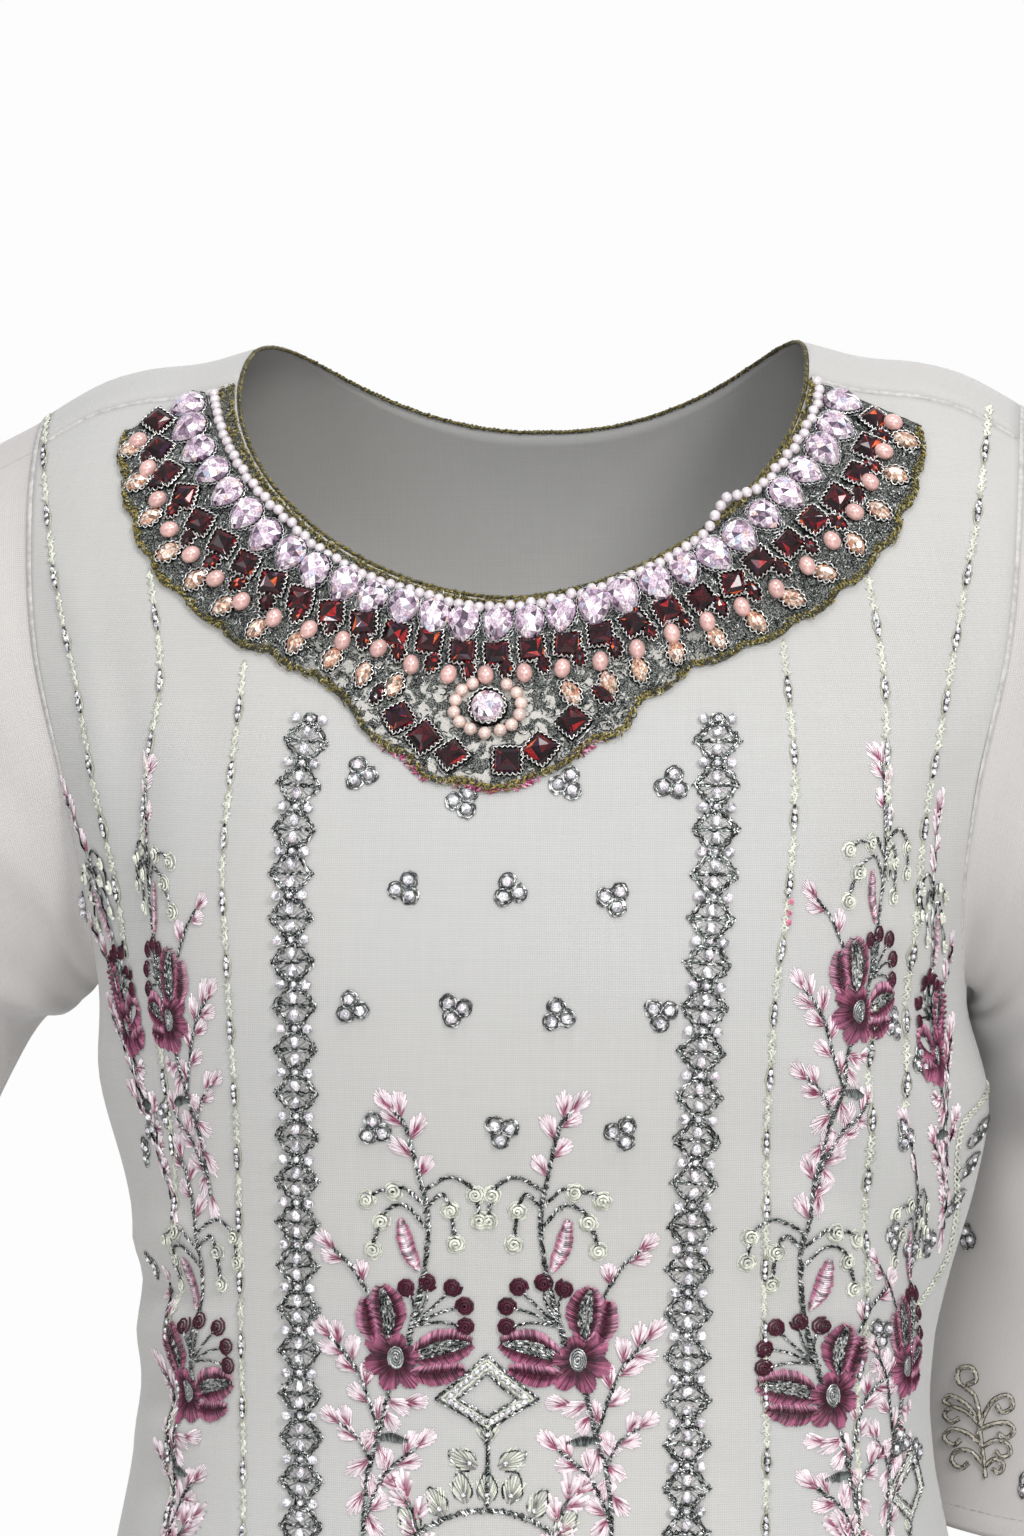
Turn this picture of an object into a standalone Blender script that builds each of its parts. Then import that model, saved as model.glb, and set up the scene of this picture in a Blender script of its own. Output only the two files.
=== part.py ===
"""Salwar kameez suit: knee-length kameez with a jewelled neckline, and a pleated salwar under it.

Metres, +Z up, the front faces -Y and the wearer's left is +X. The origin lies midway between
the two points where the shoulder ridge meets the neck. Every piece is a cloth wall made from
its outer surface, and pieces that are sewn together stand a seam gap apart.
"""

from collections import namedtuple

import bmesh
import bpy
import numpy as np

# Cloth
WALL = 0.0015
SEAM = 0.0003
BAND_WALL = 0.0025
SHOULDER_GAP = 0.7 * SEAM           # that each panel stands back from the shoulder seam

# Kameez
HEM = -1.02
SLIT_TOP = -0.58
SLIT_OPENING = np.radians(9.0)      # how far each panel's edge draws back at the hem
UNDERARM = -0.247
SECTION_POWER = 2.3                 # 2 is an ellipse, more is squarer
CAP = 0.11                          # height over which the shoulder rounds off
SEAM_DROP = 0.016                   # the shoulder seam lies this far below the ridge, in front
ARMHOLE_RATE = np.radians(102.8)    # how fast the armhole opens, per root metre above the underarm

# Neckline
NECK_HALF_WIDTH = 0.1085
NECK_DEPTH = 0.102                  # below the ridge, at the centre front
NECK_BACK_DROP = 0.030
NECK_POWER = 1.8
NECK_BACK_POWER = 2.3
BINDING_WIDTH = 0.0022
BINDING_PROUD = 0.0004
BINDING_GAP = 1.3 * SEAM

# Jewelled patch round the neckline
PATCH_START = 0.0008                # from the neck edge
PATCH_BASE = 0.0012                 # thickness of the backing and its embroidery
PATCH_LIFT = 0.0009                 # off the cloth's curve, so that it clears the panel's flat facets
PATCH_END_TILT = 0.40               # how far the ends turn down, off the shoulder seam
PATCH_END_TURN = np.radians(40.0)   # over this turn of the neckline
PATCH_END = np.radians(1.2)         # turn left free at the shoulder seam
PATCH_HALF_LENGTH = 0.172           # along the crystals
CRYSTALS = 29
CRYSTAL_OFFSET = 0.0105
SCALLOPS = 19
SCALLOP_DEPTH = 0.0035
LOBE_MEAN = 0.6                     # mean reach of a lobe, as a share of the scallops' depth
PENDANT_RADIUS = 0.013
PENDANT_OFFSET = 0.041
PENDANT_HEIGHT = 0.0045

# Beaded borders down the front
BORDER_HALF_WIDTH = 0.008
BORDER_TOP = -0.146
BORDER_HEIGHT = 0.0016
BORDER_UPPER_LIFT = 0.0009          # from the underarm up, where the panel's columns lean

# Centre line of each border, along the cloth from the centre front
BorderLine = namedtuple("BorderLine", "level left right")
BORDERS = (
    BorderLine(-1.020, 0.0665, 0.0757),
    BorderLine(-0.440, 0.0666, 0.0765),
    BorderLine(-0.335, 0.0684, 0.0765),
    BorderLine(-0.300, 0.0711, 0.0757),
    BorderLine(-0.265, 0.0734, 0.0753),
    BorderLine(-0.232, 0.0761, 0.0762),
    BorderLine(-0.197, 0.0780, 0.0762),
    BorderLine(-0.140, 0.0780, 0.0720),
)

# Grid of the panels: columns from the centre to the side, and rows
NECK_COLUMNS = 10
BACK_NECK_COLUMNS = 6
SHOULDER_COLUMNS = 5
BACK_CORNER_SHARE = 0.68            # of the back's width, below the neck corner
FRONT_UPPER_ROWS = 12
BACK_UPPER_ROWS = 15
ROW_CROWDING = 1.3                  # above 1 the rows crowd towards the underarm
LOWER_LEVELS = (
    HEM, -0.93, -0.84, -0.75, -0.66, SLIT_TOP, -0.52, -0.465, -0.415, -0.37, -0.325, -0.285, UNDERARM,
)

# Salwar
BELT_TOP = -0.40
BELT_BOTTOM = -0.55
CUFF_TOP = -1.305
CUFF_BOTTOM = -1.36
BELT_SEGMENTS = 32
CUFF_SEGMENTS = 20
LEG_COLUMNS = 32
LEG_TUBE_ROWS = 7
LEG_HIP_ROWS = 5
LEG_TUBE_TOP = -0.80
LEG_HIP_BOTTOM = -0.73
LEG_SEAM = 0.8 * SEAM               # half the gap of a leg's inner seam
LEG_MIDDLE = 0.8                    # the pleats face away from this share of the way out
CENTRE_GAP = 0.00025                # of each leg from the centre seam
PLEATS = 8                          # in each leg, at the belt

Section = namedtuple("Section", "level half_width front back")
BODY = (
    Section(-1.020, 0.2450, 0.1350, 0.1220),
    Section(-0.800, 0.2260, 0.1290, 0.1170),
    Section(-0.660, 0.2060, 0.1230, 0.1120),
    Section(-0.580, 0.1900, 0.1190, 0.1040),
    Section(-0.520, 0.1760, 0.1130, 0.0940),
    Section(-0.460, 0.1605, 0.1060, 0.0800),
    Section(-0.410, 0.1525, 0.1010, 0.0710),
    Section(-0.360, 0.1565, 0.1050, 0.0710),
    Section(-0.320, 0.1630, 0.1120, 0.0750),
    Section(-0.285, 0.1675, 0.1200, 0.0800),
    Section(-0.247, 0.1670, 0.1260, 0.0850),
    Section(-0.210, 0.1755, 0.1225, 0.0870),
    Section(-0.175, 0.1900, 0.1140, 0.0885),
    Section(-0.116, 0.2235, 0.0925, 0.0860),
    Section(-0.060, 0.2510, 0.0840, 0.0810),
    Section(0.000, 0.2820, 0.0800, 0.0750),
    Section(0.065, 0.3220, 0.0780, 0.0720),
)

Ridge = namedtuple("Ridge", "out height")
SHOULDER = (
    Ridge(0.000, 0.0060),
    Ridge(0.060, 0.0050),
    Ridge(0.1045, 0.0000),
    Ridge(0.127, -0.0060),
    Ridge(0.150, -0.0085),
    Ridge(0.165, -0.0125),
    Ridge(0.178, -0.0190),
    Ridge(0.190, -0.0265),
    Ridge(0.220, -0.0500),
    Ridge(0.350, -0.1600),
)

# Folds: side is -1 on the front, 1 on the back and 0 on both. Angles are in degrees from the
# centre, and rise is positive for a ridge. Each fold swells from its top to full and is gone
# again at its end; one that ends below the hem runs out through it.
BELOW_HEM = -9.0
Fold = namedtuple("Fold", "side angle spread top full end rise")
FOLDS = (
    Fold(-1, -62, 8.0, -0.44, -1.06, BELOW_HEM, 0.014),
    Fold(-1, -38, 8.0, -0.50, -1.08, BELOW_HEM, -0.013),
    Fold(-1, -17, 8.5, -0.55, -1.10, BELOW_HEM, 0.011),
    Fold(-1, 6, 9.0, -0.52, -1.10, BELOW_HEM, -0.010),
    Fold(-1, 27, 8.0, -0.48, -1.06, BELOW_HEM, 0.012),
    Fold(-1, 49, 8.0, -0.46, -1.08, BELOW_HEM, -0.013),
    Fold(-1, 67, 7.5, -0.42, -1.06, BELOW_HEM, 0.014),
    Fold(1, -60, 8.0, -0.46, -1.06, BELOW_HEM, 0.014),
    Fold(1, -35, 8.0, -0.50, -1.08, BELOW_HEM, -0.012),
    Fold(1, -10, 9.0, -0.52, -1.10, BELOW_HEM, 0.012),
    Fold(1, 14, 8.5, -0.50, -1.08, BELOW_HEM, -0.011),
    Fold(1, 38, 8.0, -0.48, -1.06, BELOW_HEM, 0.013),
    Fold(1, 61, 8.0, -0.46, -1.08, BELOW_HEM, -0.012),
    Fold(0, 90, 24.0, UNDERARM, -0.300, -0.40, 0.009),
    Fold(0, -90, 24.0, -0.27, -0.330, -0.42, -0.007),
)

# Each ring of a sleeve: where its inner and outer edges lie seen from the front, how far back
# its centre is, and half its depth from front to back.
SleeveRing = namedtuple("SleeveRing", "inner_out inner_height outer_out outer_height back half_depth")
SLEEVE_LEFT = (
    SleeveRing(0.1715, -0.2480, 0.222, -0.048, 0.002, 0.064),
    SleeveRing(0.1755, -0.2520, 0.254, -0.085, 0.009, 0.066),
    SleeveRing(0.1775, -0.2600, 0.277, -0.135, 0.022, 0.066),
    SleeveRing(0.1760, -0.2780, 0.287, -0.195, 0.040, 0.065),
    SleeveRing(0.1690, -0.3050, 0.284, -0.262, 0.058, 0.062),
    SleeveRing(0.1580, -0.3450, 0.272, -0.330, 0.071, 0.058),
    SleeveRing(0.1460, -0.3950, 0.250, -0.395, 0.081, 0.052),
    SleeveRing(0.1370, -0.4370, 0.225, -0.452, 0.089, 0.046),
    SleeveRing(0.1320, -0.4560, 0.216, -0.476, 0.092, 0.044),
)
SLEEVE_RIGHT = (
    SleeveRing(0.1705, -0.2480, 0.224, -0.046, 0.000, 0.064),
    SleeveRing(0.1745, -0.2520, 0.260, -0.078, 0.002, 0.067),
    SleeveRing(0.1840, -0.2590, 0.294, -0.125, 0.005, 0.068),
    SleeveRing(0.1990, -0.2690, 0.320, -0.180, 0.010, 0.067),
    SleeveRing(0.2180, -0.3020, 0.340, -0.240, 0.016, 0.064),
    SleeveRing(0.2400, -0.3450, 0.357, -0.300, 0.020, 0.060),
    SleeveRing(0.2620, -0.3950, 0.372, -0.362, 0.016, 0.055),
    SleeveRing(0.2810, -0.4400, 0.381, -0.420, 0.006, 0.049),
    SleeveRing(0.2930, -0.4800, 0.386, -0.466, -0.006, 0.045),
)
SLEEVE_LEAVE = 1.6                  # how straight a sleeve leaves its armhole
SLEEVE_STEPS = (0.0, 0.45, 1.0, 1.6, 2.3, 3.0, 4.0, 5.0, 6.0, 7.0, 8.0, 9.0)

# Width of the patch along the neckline, from the centre (0) to the shoulder seam (1)
Reach = namedtuple("Reach", "share width")
PATCH_WIDTH = (
    Reach(0.00, 0.0700),
    Reach(0.15, 0.0675),
    Reach(0.27, 0.0540),
    Reach(0.36, 0.0450),
    Reach(0.46, 0.0435),
    Reach(0.60, 0.0490),
    Reach(0.75, 0.0530),
    Reach(0.90, 0.0500),
    Reach(1.00, 0.0380),
)

# Rows of the patch: distance from the neck edge, height on a jewel and height between two.
# Rows past the stones are shares of what is left of the width.
Jewel = namedtuple("Jewel", "offset crown gap")
JEWELS = (
    Jewel(PATCH_START, 0.0012, 0.0012),
    Jewel(0.0032, 0.0032, 0.0030),
    Jewel(0.0062, 0.0014, 0.0013),
    Jewel(CRYSTAL_OFFSET, 0.0046, 0.0014),
    Jewel(0.0150, 0.0015, 0.0013),
    Jewel(0.0195, 0.0036, 0.0014),
    Jewel(0.0240, 0.0015, 0.0014),
    Jewel(0.0290, 0.0016, 0.0038),
)
OUTER_SHARE = 0.55
OUTER_CROWN = 0.0026
EDGE_CORD_WIDTH = 0.0022
EDGE_CORD_HEIGHT = 0.0020

# Salwar: joined is 0 where both legs share the hips and 1 where each leg is a tube
Leg = namedtuple("Leg", "height joined hip_width hip_front hip_back out deep half_width half_depth pleat")
LEG = (
    Leg(-1.305, 1.00, 0.160, 0.095, 0.090, 0.102, 0.000, 0.052, 0.060, 0.0005),
    Leg(-1.220, 1.00, 0.160, 0.095, 0.090, 0.101, 0.002, 0.060, 0.069, 0.0012),
    Leg(-1.100, 1.00, 0.160, 0.095, 0.090, 0.100, 0.004, 0.067, 0.078, 0.0020),
    Leg(-0.950, 1.00, 0.160, 0.095, 0.090, 0.098, 0.005, 0.075, 0.087, 0.0028),
    Leg(-0.800, 1.00, 0.160, 0.095, 0.090, 0.093, 0.005, 0.082, 0.096, 0.0035),
    Leg(-0.730, 0.98, 0.160, 0.096, 0.092, 0.088, 0.004, 0.085, 0.099, 0.0040),
    Leg(-0.680, 0.60, 0.159, 0.096, 0.092, 0.086, 0.002, 0.082, 0.098, 0.0045),
    Leg(-0.620, 0.20, 0.154, 0.094, 0.088, 0.085, 0.000, 0.078, 0.095, 0.0050),
    Leg(-0.5503, 0.00, 0.138, 0.086, 0.074, 0.085, 0.000, 0.078, 0.095, 0.0045),
)
BELT_HALF_WIDTH = 0.134
BELT_FRONT = 0.084
BELT_BACK = 0.0693                  # rests against the back of the kameez at the waist
BELT_FLARE = 0.004                  # from its top to its bottom

Finish = namedtuple("Finish", "color roughness metallic")
CLOTH = Finish((0.62, 0.60, 0.56), 0.75, 0.0)
SLEEVE_CLOTH = Finish((0.60, 0.56, 0.52), 0.75, 0.0)
SALWAR_CLOTH = Finish((0.60, 0.58, 0.54), 0.75, 0.0)
PIPING = Finish((0.10, 0.09, 0.05), 0.6, 0.2)
JEWELLED = Finish((0.22, 0.15, 0.17), 0.35, 0.4)
ZARI = Finish((0.35, 0.34, 0.34), 0.4, 0.5)


def clear_scene():
    for item in list(bpy.data.objects):
        bpy.data.objects.remove(item)


def curve(rows, column, at):
    """Smooth curve through one column of a table, read at the first column's values."""
    keys = np.array([row[0] for row in rows])
    values = np.array([getattr(row, column) for row in rows])
    slopes = np.gradient(values, keys)
    at = np.clip(at, keys[0], keys[-1])
    low = np.clip(np.searchsorted(keys, at) - 1, 0, len(keys) - 2)
    span = keys[low + 1] - keys[low]
    part = (at - keys[low]) / span
    rest = 1.0 - part
    start = (1.0 + 2.0 * part) * rest ** 2 * values[low] + part * rest ** 2 * span * slopes[low]
    end = part ** 2 * (3.0 - 2.0 * part) * values[low + 1] - part ** 2 * rest * span * slopes[low + 1]
    return start + end


def power(value, exponent):
    return np.sign(value) * np.abs(value) ** exponent


def unit(vectors):
    return vectors / np.linalg.norm(vectors, axis=-1, keepdims=True)


def smooth_step(value):
    value = np.clip(value, 0.0, 1.0)
    return value * value * (3.0 - 2.0 * value)


# The form of the kameez. A point is given by its share of the panel's width, from -1 to 1,
# and its level: the height, unrolled over the shoulder so that it keeps rising past the ridge.

def shoulder_line(out):
    return curve(SHOULDER, "height", np.abs(out))


def ridge_level(out):
    return shoulder_line(out) + CAP * (np.pi / 2 - 1.0)


def edge_angle(level):
    """Section angle of the panel's edge: the side seam, the armhole above it, the slit below."""
    armhole = ARMHOLE_RATE * np.sqrt(np.maximum(level - UNDERARM, 0.0))
    slit = SLIT_OPENING * np.clip((SLIT_TOP - level) / (SLIT_TOP - HEM), 0.0, 1.0)
    return np.pi / 2 - armhole - slit


def fold_swell(angle, level, side):
    """How far the folds lift the cloth off the plain form."""
    total = np.zeros(np.broadcast(angle, level).shape)
    for fold in FOLDS:
        across = np.exp(-0.5 * ((np.degrees(angle) - fold.angle) / fold.spread) ** 2)
        down = smooth_step((fold.top - level) / (fold.top - fold.full))
        fade = smooth_step((level - fold.end) / (fold.full - fold.end))
        total = total + (fold.side in (0, side)) * fold.rise * across * down * fade
    return total


def form_point(share, level, side):
    """Outer surface of the kameez. side is -1 for the front and 1 for the back panel."""
    share, level = np.broadcast_arrays(np.asarray(share, float), np.asarray(level, float))
    low = level
    for _ in range(8):
        angle = share * edge_angle(low)
        half_width = curve(BODY, "half_width", low)
        out = half_width * power(np.sin(angle), 2.0 / SECTION_POWER)
        low = np.minimum(level, 2.0 * ridge_level(out) - level)
    turn = np.minimum((ridge_level(out) - level) / CAP, np.pi / 2)
    height = np.where(turn < np.pi / 2, shoulder_line(out) - CAP * (1.0 - np.cos(turn)), level)
    front = curve(BODY, "front", height)
    back = curve(BODY, "back", height)
    depth = np.where(side * turn < 0, front, back)
    forward = side * depth * power(np.cos(angle), 2.0 / SECTION_POWER) * np.sin(turn)
    swell = 1.0 + fold_swell(angle, low, side) / half_width
    return np.stack([out * swell, forward * swell, height], axis=-1)


def form_normal(share, level, side):
    """Outward unit normal of form_point, by small steps across and up."""
    step = 1e-4
    across = form_point(share + step, level, side) - form_point(share - step, level, side)
    upward = form_point(share, level + step, side) - form_point(share, level - step, side)
    return unit(np.cross(across, upward) * -side)


def front_at(out, height):
    """Point of the front's outer surface seen straight on at (out, height), as share and level."""
    drop = shoulder_line(out) - height
    turn = np.arccos(np.clip(1.0 - drop / CAP, 0.0, 1.0))
    level = np.where(drop < CAP, ridge_level(out) - CAP * turn, height)
    half_width = curve(BODY, "half_width", level)
    angle = np.arcsin(np.clip(power(out / half_width, SECTION_POWER / 2.0), -1.0, 1.0))
    return angle / edge_angle(level), level


def seam_turn():
    return np.arccos(1.0 - SEAM_DROP / CAP)


def seam_point(out, side):
    """Share and level of the shoulder seam, half a seam gap back into the given panel."""
    level = ridge_level(out) + side * CAP * seam_turn()
    low = ridge_level(out) - CAP * seam_turn()
    angle = np.arcsin((out / curve(BODY, "half_width", low)) ** (SECTION_POWER / 2.0))
    return angle / edge_angle(low), level - SHOULDER_GAP


def shoulder_tip():
    """Where the shoulder seam meets the armhole, out from the centre."""
    out = 0.19
    for _ in range(30):
        low = ridge_level(out) - CAP * seam_turn()
        out = float(curve(BODY, "half_width", low) * np.sin(edge_angle(low)) ** (2.0 / SECTION_POWER))
    return out


def neck_front(turn):
    """Neckline seen from the front. turn is 0 at the shoulder seam and 90 degrees at the centre."""
    seam_height = shoulder_line(NECK_HALF_WIDTH) - SEAM_DROP
    out = NECK_HALF_WIDTH * power(np.cos(turn), 2.0 / NECK_POWER)
    height = seam_height - (NECK_DEPTH + seam_height) * power(np.sin(turn), 2.0 / NECK_POWER)
    return out, height


def neck_back(way):
    """Share and level of the back neckline. way is 0 at the shoulder seam and 1 at the centre."""
    out = NECK_HALF_WIDTH * (1.0 - way ** NECK_BACK_POWER) ** (1.0 / NECK_BACK_POWER)
    centre_turn = np.arccos(1.0 - (shoulder_line(0.0) + NECK_BACK_DROP) / CAP)
    turn = seam_turn() - (seam_turn() + centre_turn) * way
    low = ridge_level(out) - CAP * np.abs(turn)
    angle = np.arcsin((out / curve(BODY, "half_width", low)) ** (SECTION_POWER / 2.0))
    return angle / edge_angle(low), ridge_level(out) + CAP * turn


def top_edge(side):
    """Share and level where each column of half a panel ends, on the neckline or the seam."""
    if side < 0:
        out, height = neck_front(np.radians(np.linspace(90.0, 0.0, NECK_COLUMNS + 1)))
        share, level = front_at(out, height)
    else:
        share, level = neck_back(np.sin(np.radians(np.linspace(90.0, 0.0, BACK_NECK_COLUMNS + 1))))
    shoulder = np.linspace(NECK_HALF_WIDTH, shoulder_tip(), SHOULDER_COLUMNS + 1)
    seam_share, seam_level = seam_point(shoulder, side)
    share = np.concatenate([share[:-1], seam_share])
    level = np.concatenate([level[:-1], seam_level])
    share[-1] = 1.0
    return share, level


def half_section_arc(level, side, hand):
    """Shares across half a panel at one level, and how far along the cloth each one lies.

    hand is 1 on the wearer's left and -1 on the right.
    """
    shares = np.linspace(0.0, 1.0, 181)
    points = form_point(hand * shares, level, side)
    steps = np.linalg.norm(np.diff(points, axis=0), axis=1)
    return shares, np.concatenate([[0.0], np.cumsum(steps)])


def border_edges(level, hand):
    """How far along the cloth from the centre front a border's two edges lie."""
    centre = float(curve(BORDERS, "left" if hand > 0 else "right", level))
    return centre - BORDER_HALF_WIDTH, centre + BORDER_HALF_WIDTH


def row_shares(level, side, hand):
    """Where the columns cross one row below the underarm, from the centre to the side."""
    shares, arc = half_section_arc(level, side, hand)
    if side < 0:
        near, far = border_edges(level, hand)
        inner = [0.0, near / 3.0, near * 2.0 / 3.0, near]
        outer_count = NECK_COLUMNS + SHOULDER_COLUMNS - len(inner) + 1
        stops = np.concatenate([inner, np.linspace(far, arc[-1], outer_count)])
    else:
        corner = BACK_CORNER_SHARE * arc[-1]
        stops = np.linspace(0.0, corner, BACK_NECK_COLUMNS + 1)
        stops = np.concatenate([stops[:-1], np.linspace(corner, arc[-1], SHOULDER_COLUMNS + 1)])
    return np.interp(stops, arc, shares)


def panel_grid(side):
    """Shares and levels of a whole panel, a row for each level, from the hem up."""
    top_share, top_level = top_edge(side)
    rows = FRONT_UPPER_ROWS if side < 0 else BACK_UPPER_ROWS
    rise = (np.arange(1, rows + 1) / rows)[:, None] ** ROW_CROWDING
    halves = []
    for hand in (-1, 1):
        lower = np.array([row_shares(level, side, hand) for level in LOWER_LEVELS])
        upper = lower[-1] + (top_share - lower[-1]) * rise
        halves.append(hand * np.vstack([lower, upper]))
    share = np.hstack([halves[0][:, :0:-1], halves[1]])
    lower_level = np.repeat(np.array(LOWER_LEVELS)[:, None], len(top_level), axis=1)
    level = np.vstack([lower_level, UNDERARM + (top_level - UNDERARM) * rise])
    level = np.hstack([level[:, :0:-1], level])
    return share, level


def part_at_side_seam(points, side):
    """Holds each panel half a seam gap back from the plane of the side seams."""
    limit = SEAM / 2
    shifted = points.copy()
    shifted[..., 1] = np.where(np.abs(points[..., 1]) < limit, side * limit, points[..., 1])
    return shifted


def panel(side):
    share, level = panel_grid(side)
    normal = form_normal(share, level, side)
    outer = part_at_side_seam(form_point(share, level, side), side)
    inner = outer - WALL * normal
    return outer, inner, normal


# Building meshes

def material(name, finish):
    made = bpy.data.materials.new(name)
    made.use_nodes = True
    shader = made.node_tree.nodes["Principled BSDF"]
    shader.inputs["Base Color"].default_value = (*finish.color, 1.0)
    shader.inputs["Roughness"].default_value = finish.roughness
    shader.inputs["Metallic"].default_value = finish.metallic
    return made


def build_wall(name, outer, inner, finish, around=False):
    """Closed wall between two grids of points. around joins the last column to the first."""
    rows, columns = outer.shape[:2]
    mesh_data = bmesh.new()
    skin = [[mesh_data.verts.new(point) for point in row] for row in outer]
    lining = [[mesh_data.verts.new(point) for point in row] for row in inner]
    last = columns if around else columns - 1
    for row in range(rows - 1):
        for column in range(last):
            beside = (column + 1) % columns
            corners = ((row, column), (row, beside), (row + 1, beside), (row + 1, column))
            mesh_data.faces.new([skin[r][c] for r, c in corners])
            mesh_data.faces.new([lining[r][c] for r, c in reversed(corners)])
    for row in (0, rows - 1):
        for column in range(last):
            beside = (column + 1) % columns
            edge = [skin[row][column], skin[row][beside], lining[row][beside], lining[row][column]]
            mesh_data.faces.new(edge)
    if not around:
        for column in (0, columns - 1):
            for row in range(rows - 1):
                above = row + 1
                edge = [skin[row][column], skin[above][column], lining[above][column], lining[row][column]]
                mesh_data.faces.new(edge)
    bmesh.ops.recalc_face_normals(mesh_data, faces=mesh_data.faces)
    bmesh.ops.triangulate(mesh_data, faces=mesh_data.faces, quad_method="FIXED")
    mesh = bpy.data.meshes.new(name)
    mesh_data.to_mesh(mesh)
    mesh_data.free()
    mesh.shade_smooth()
    mesh.set_sharp_from_angle(angle=np.radians(50.0))
    mesh.materials.append(material(name, finish))
    piece = bpy.data.objects.new(name, mesh)
    bpy.context.scene.collection.objects.link(piece)
    return piece


def grid_normals(points, around):
    """Unit normals of a grid of points, by differences along its rows and columns."""
    up = np.gradient(points, axis=0)
    if around:
        across = np.roll(points, -1, axis=1) - np.roll(points, 1, axis=1)
    else:
        across = np.gradient(points, axis=1)
    return unit(np.cross(across, up))


# Sleeves

def armhole_loop(front, back):
    """Armhole edge of the wearer's left side: up the front, over the ridge and down the back."""
    start = len(LOWER_LEVELS) - 1
    front_outer, front_normal = front[0][start:, -1], front[2][start:, -1]
    back_outer, back_normal = back[0][start + 1:-1, -1], back[2][start + 1:-1, -1]
    points = np.vstack([front_outer, back_outer[::-1]])
    normals = np.vstack([front_normal, back_normal[::-1]])
    points[0, 1] = 0.0
    return points, normals


def loop_angles(points):
    """Angle of each armhole point: 180 degrees at the underarm and 0 at the ridge."""
    low = points[:, 2].min()
    top = points[:, 2].max()
    angle = np.arccos(np.clip(2.0 * (points[:, 2] - low) / (top - low) - 1.0, -1.0, 1.0))
    return angle * np.where(points[:, 1] < 0, -1.0, 1.0)


def sleeve_ring(ring, angle):
    inner = np.array([ring.inner_out, ring.back, ring.inner_height])
    outer = np.array([ring.outer_out, ring.back, ring.outer_height])
    points = (inner + outer) / 2 + np.cos(angle)[:, None] * (outer - inner) / 2
    points[:, 1] += ring.half_depth * np.sin(angle)
    return points


def through_rings(rings, step):
    """Smooth curve through the rings, point by point. The ring numbered 1 is the armhole."""
    low = min(int(step), len(rings) - 3)
    part = step - low
    before, start, end = rings[low], rings[low + 1], rings[low + 2]
    after = rings[low + 3] if low + 3 < len(rings) else 2 * end - start
    leave = (end - before) / 2
    arrive = (after - start) / 2
    rest = 1.0 - part
    first = (1 + 2 * part) * rest ** 2 * start + part * rest ** 2 * leave
    return first + part ** 2 * (3 - 2 * part) * end - part ** 2 * rest * arrive


def sleeve(front, back, table):
    """Outer and inner grid of a sleeve on the wearer's left side."""
    loop, normals = armhole_loop(front, back)
    angle = loop_angles(loop)
    tangent = unit(np.roll(loop, -1, axis=0) - np.roll(loop, 1, axis=0))
    leave = unit(np.cross(tangent, normals))
    start = loop + SEAM * leave
    rings = [sleeve_ring(ring, angle) for ring in table]
    reach = np.linalg.norm(rings[0] - start, axis=1, keepdims=True)
    rings = [rings[0] - SLEEVE_LEAVE * reach * leave, start] + rings
    outer = np.array([through_rings(rings, step) for step in SLEEVE_STEPS])
    facing = grid_normals(outer, around=True)
    centre = outer.mean(axis=1, keepdims=True)
    outward = np.sign(np.sum(facing * (outer - centre)))
    inner = outer - WALL * facing * outward
    inner[0] = start - WALL * normals
    return outer, inner


def mirrored(grid):
    return grid * np.array([-1.0, 1.0, 1.0])


# Neckline: binding and jewelled patch

def neck_loop(front, back):
    """Panels' neck edge all round, with its normals: across the front, then back over the neck."""
    half = NECK_COLUMNS + SHOULDER_COLUMNS
    columns = slice(half - NECK_COLUMNS, half + NECK_COLUMNS + 1)
    front_outer, front_normal = front[0][-1, columns], front[2][-1, columns]
    half = BACK_NECK_COLUMNS + SHOULDER_COLUMNS
    columns = slice(half - BACK_NECK_COLUMNS + 1, half + BACK_NECK_COLUMNS)
    back_outer, back_normal = back[0][-1, columns][::-1], back[2][-1, columns][::-1]
    return np.vstack([front_outer, back_outer]), np.vstack([front_normal, back_normal])


def build_binding(front, back):
    """Square piping that sits inside the neck edge, a seam gap away from the panels."""
    edge, normal = neck_loop(front, back)
    tangent = unit(np.roll(edge, -1, axis=0) - np.roll(edge, 1, axis=0))
    towards_neck = unit(np.cross(normal, tangent))
    middle = edge.mean(axis=0)
    towards_neck *= np.sign(np.sum(towards_neck * (middle - edge), axis=1, keepdims=True))
    near = edge + BINDING_GAP * towards_neck
    far = near + BINDING_WIDTH * towards_neck
    above = BINDING_PROUD * normal
    below = (WALL + BINDING_PROUD) * normal
    outer = np.array([near + above, far + above])
    inner = np.array([near - below, far - below])
    return build_wall("neck_binding", outer, inner, PIPING, around=True)


def patch_base(turn, offset):
    """Share and level on the front, at a distance out from the neck edge."""
    step = 1e-4
    out, height = neck_front(turn)
    next_out, next_height = neck_front(turn + step)
    last_out, last_height = neck_front(turn - step)
    along = unit(np.stack([next_out - last_out, next_height - last_height], axis=-1))
    away = np.stack([-along[:, 1], along[:, 0]], axis=-1)
    away[:, 1] -= PATCH_END_TILT * smooth_step(1.0 - turn / PATCH_END_TURN)
    away = unit(away)
    return front_at(out + offset * away[:, 0], height + offset * away[:, 1])


def patch_turns(count):
    """Turns of the neckline for evenly spaced columns, over half the patch, centre first."""
    centre = np.pi / 2 - 2e-4
    turns = np.linspace(centre, PATCH_END, count)
    share, level = patch_base(turns, np.full(turns.shape, CRYSTAL_OFFSET))
    points = form_point(share, level, -1)
    arc = np.concatenate([[0.0], np.cumsum(np.linalg.norm(np.diff(points, axis=0), axis=1))])
    return np.interp(np.linspace(0.0, arc[-1], count), arc, turns)


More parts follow.
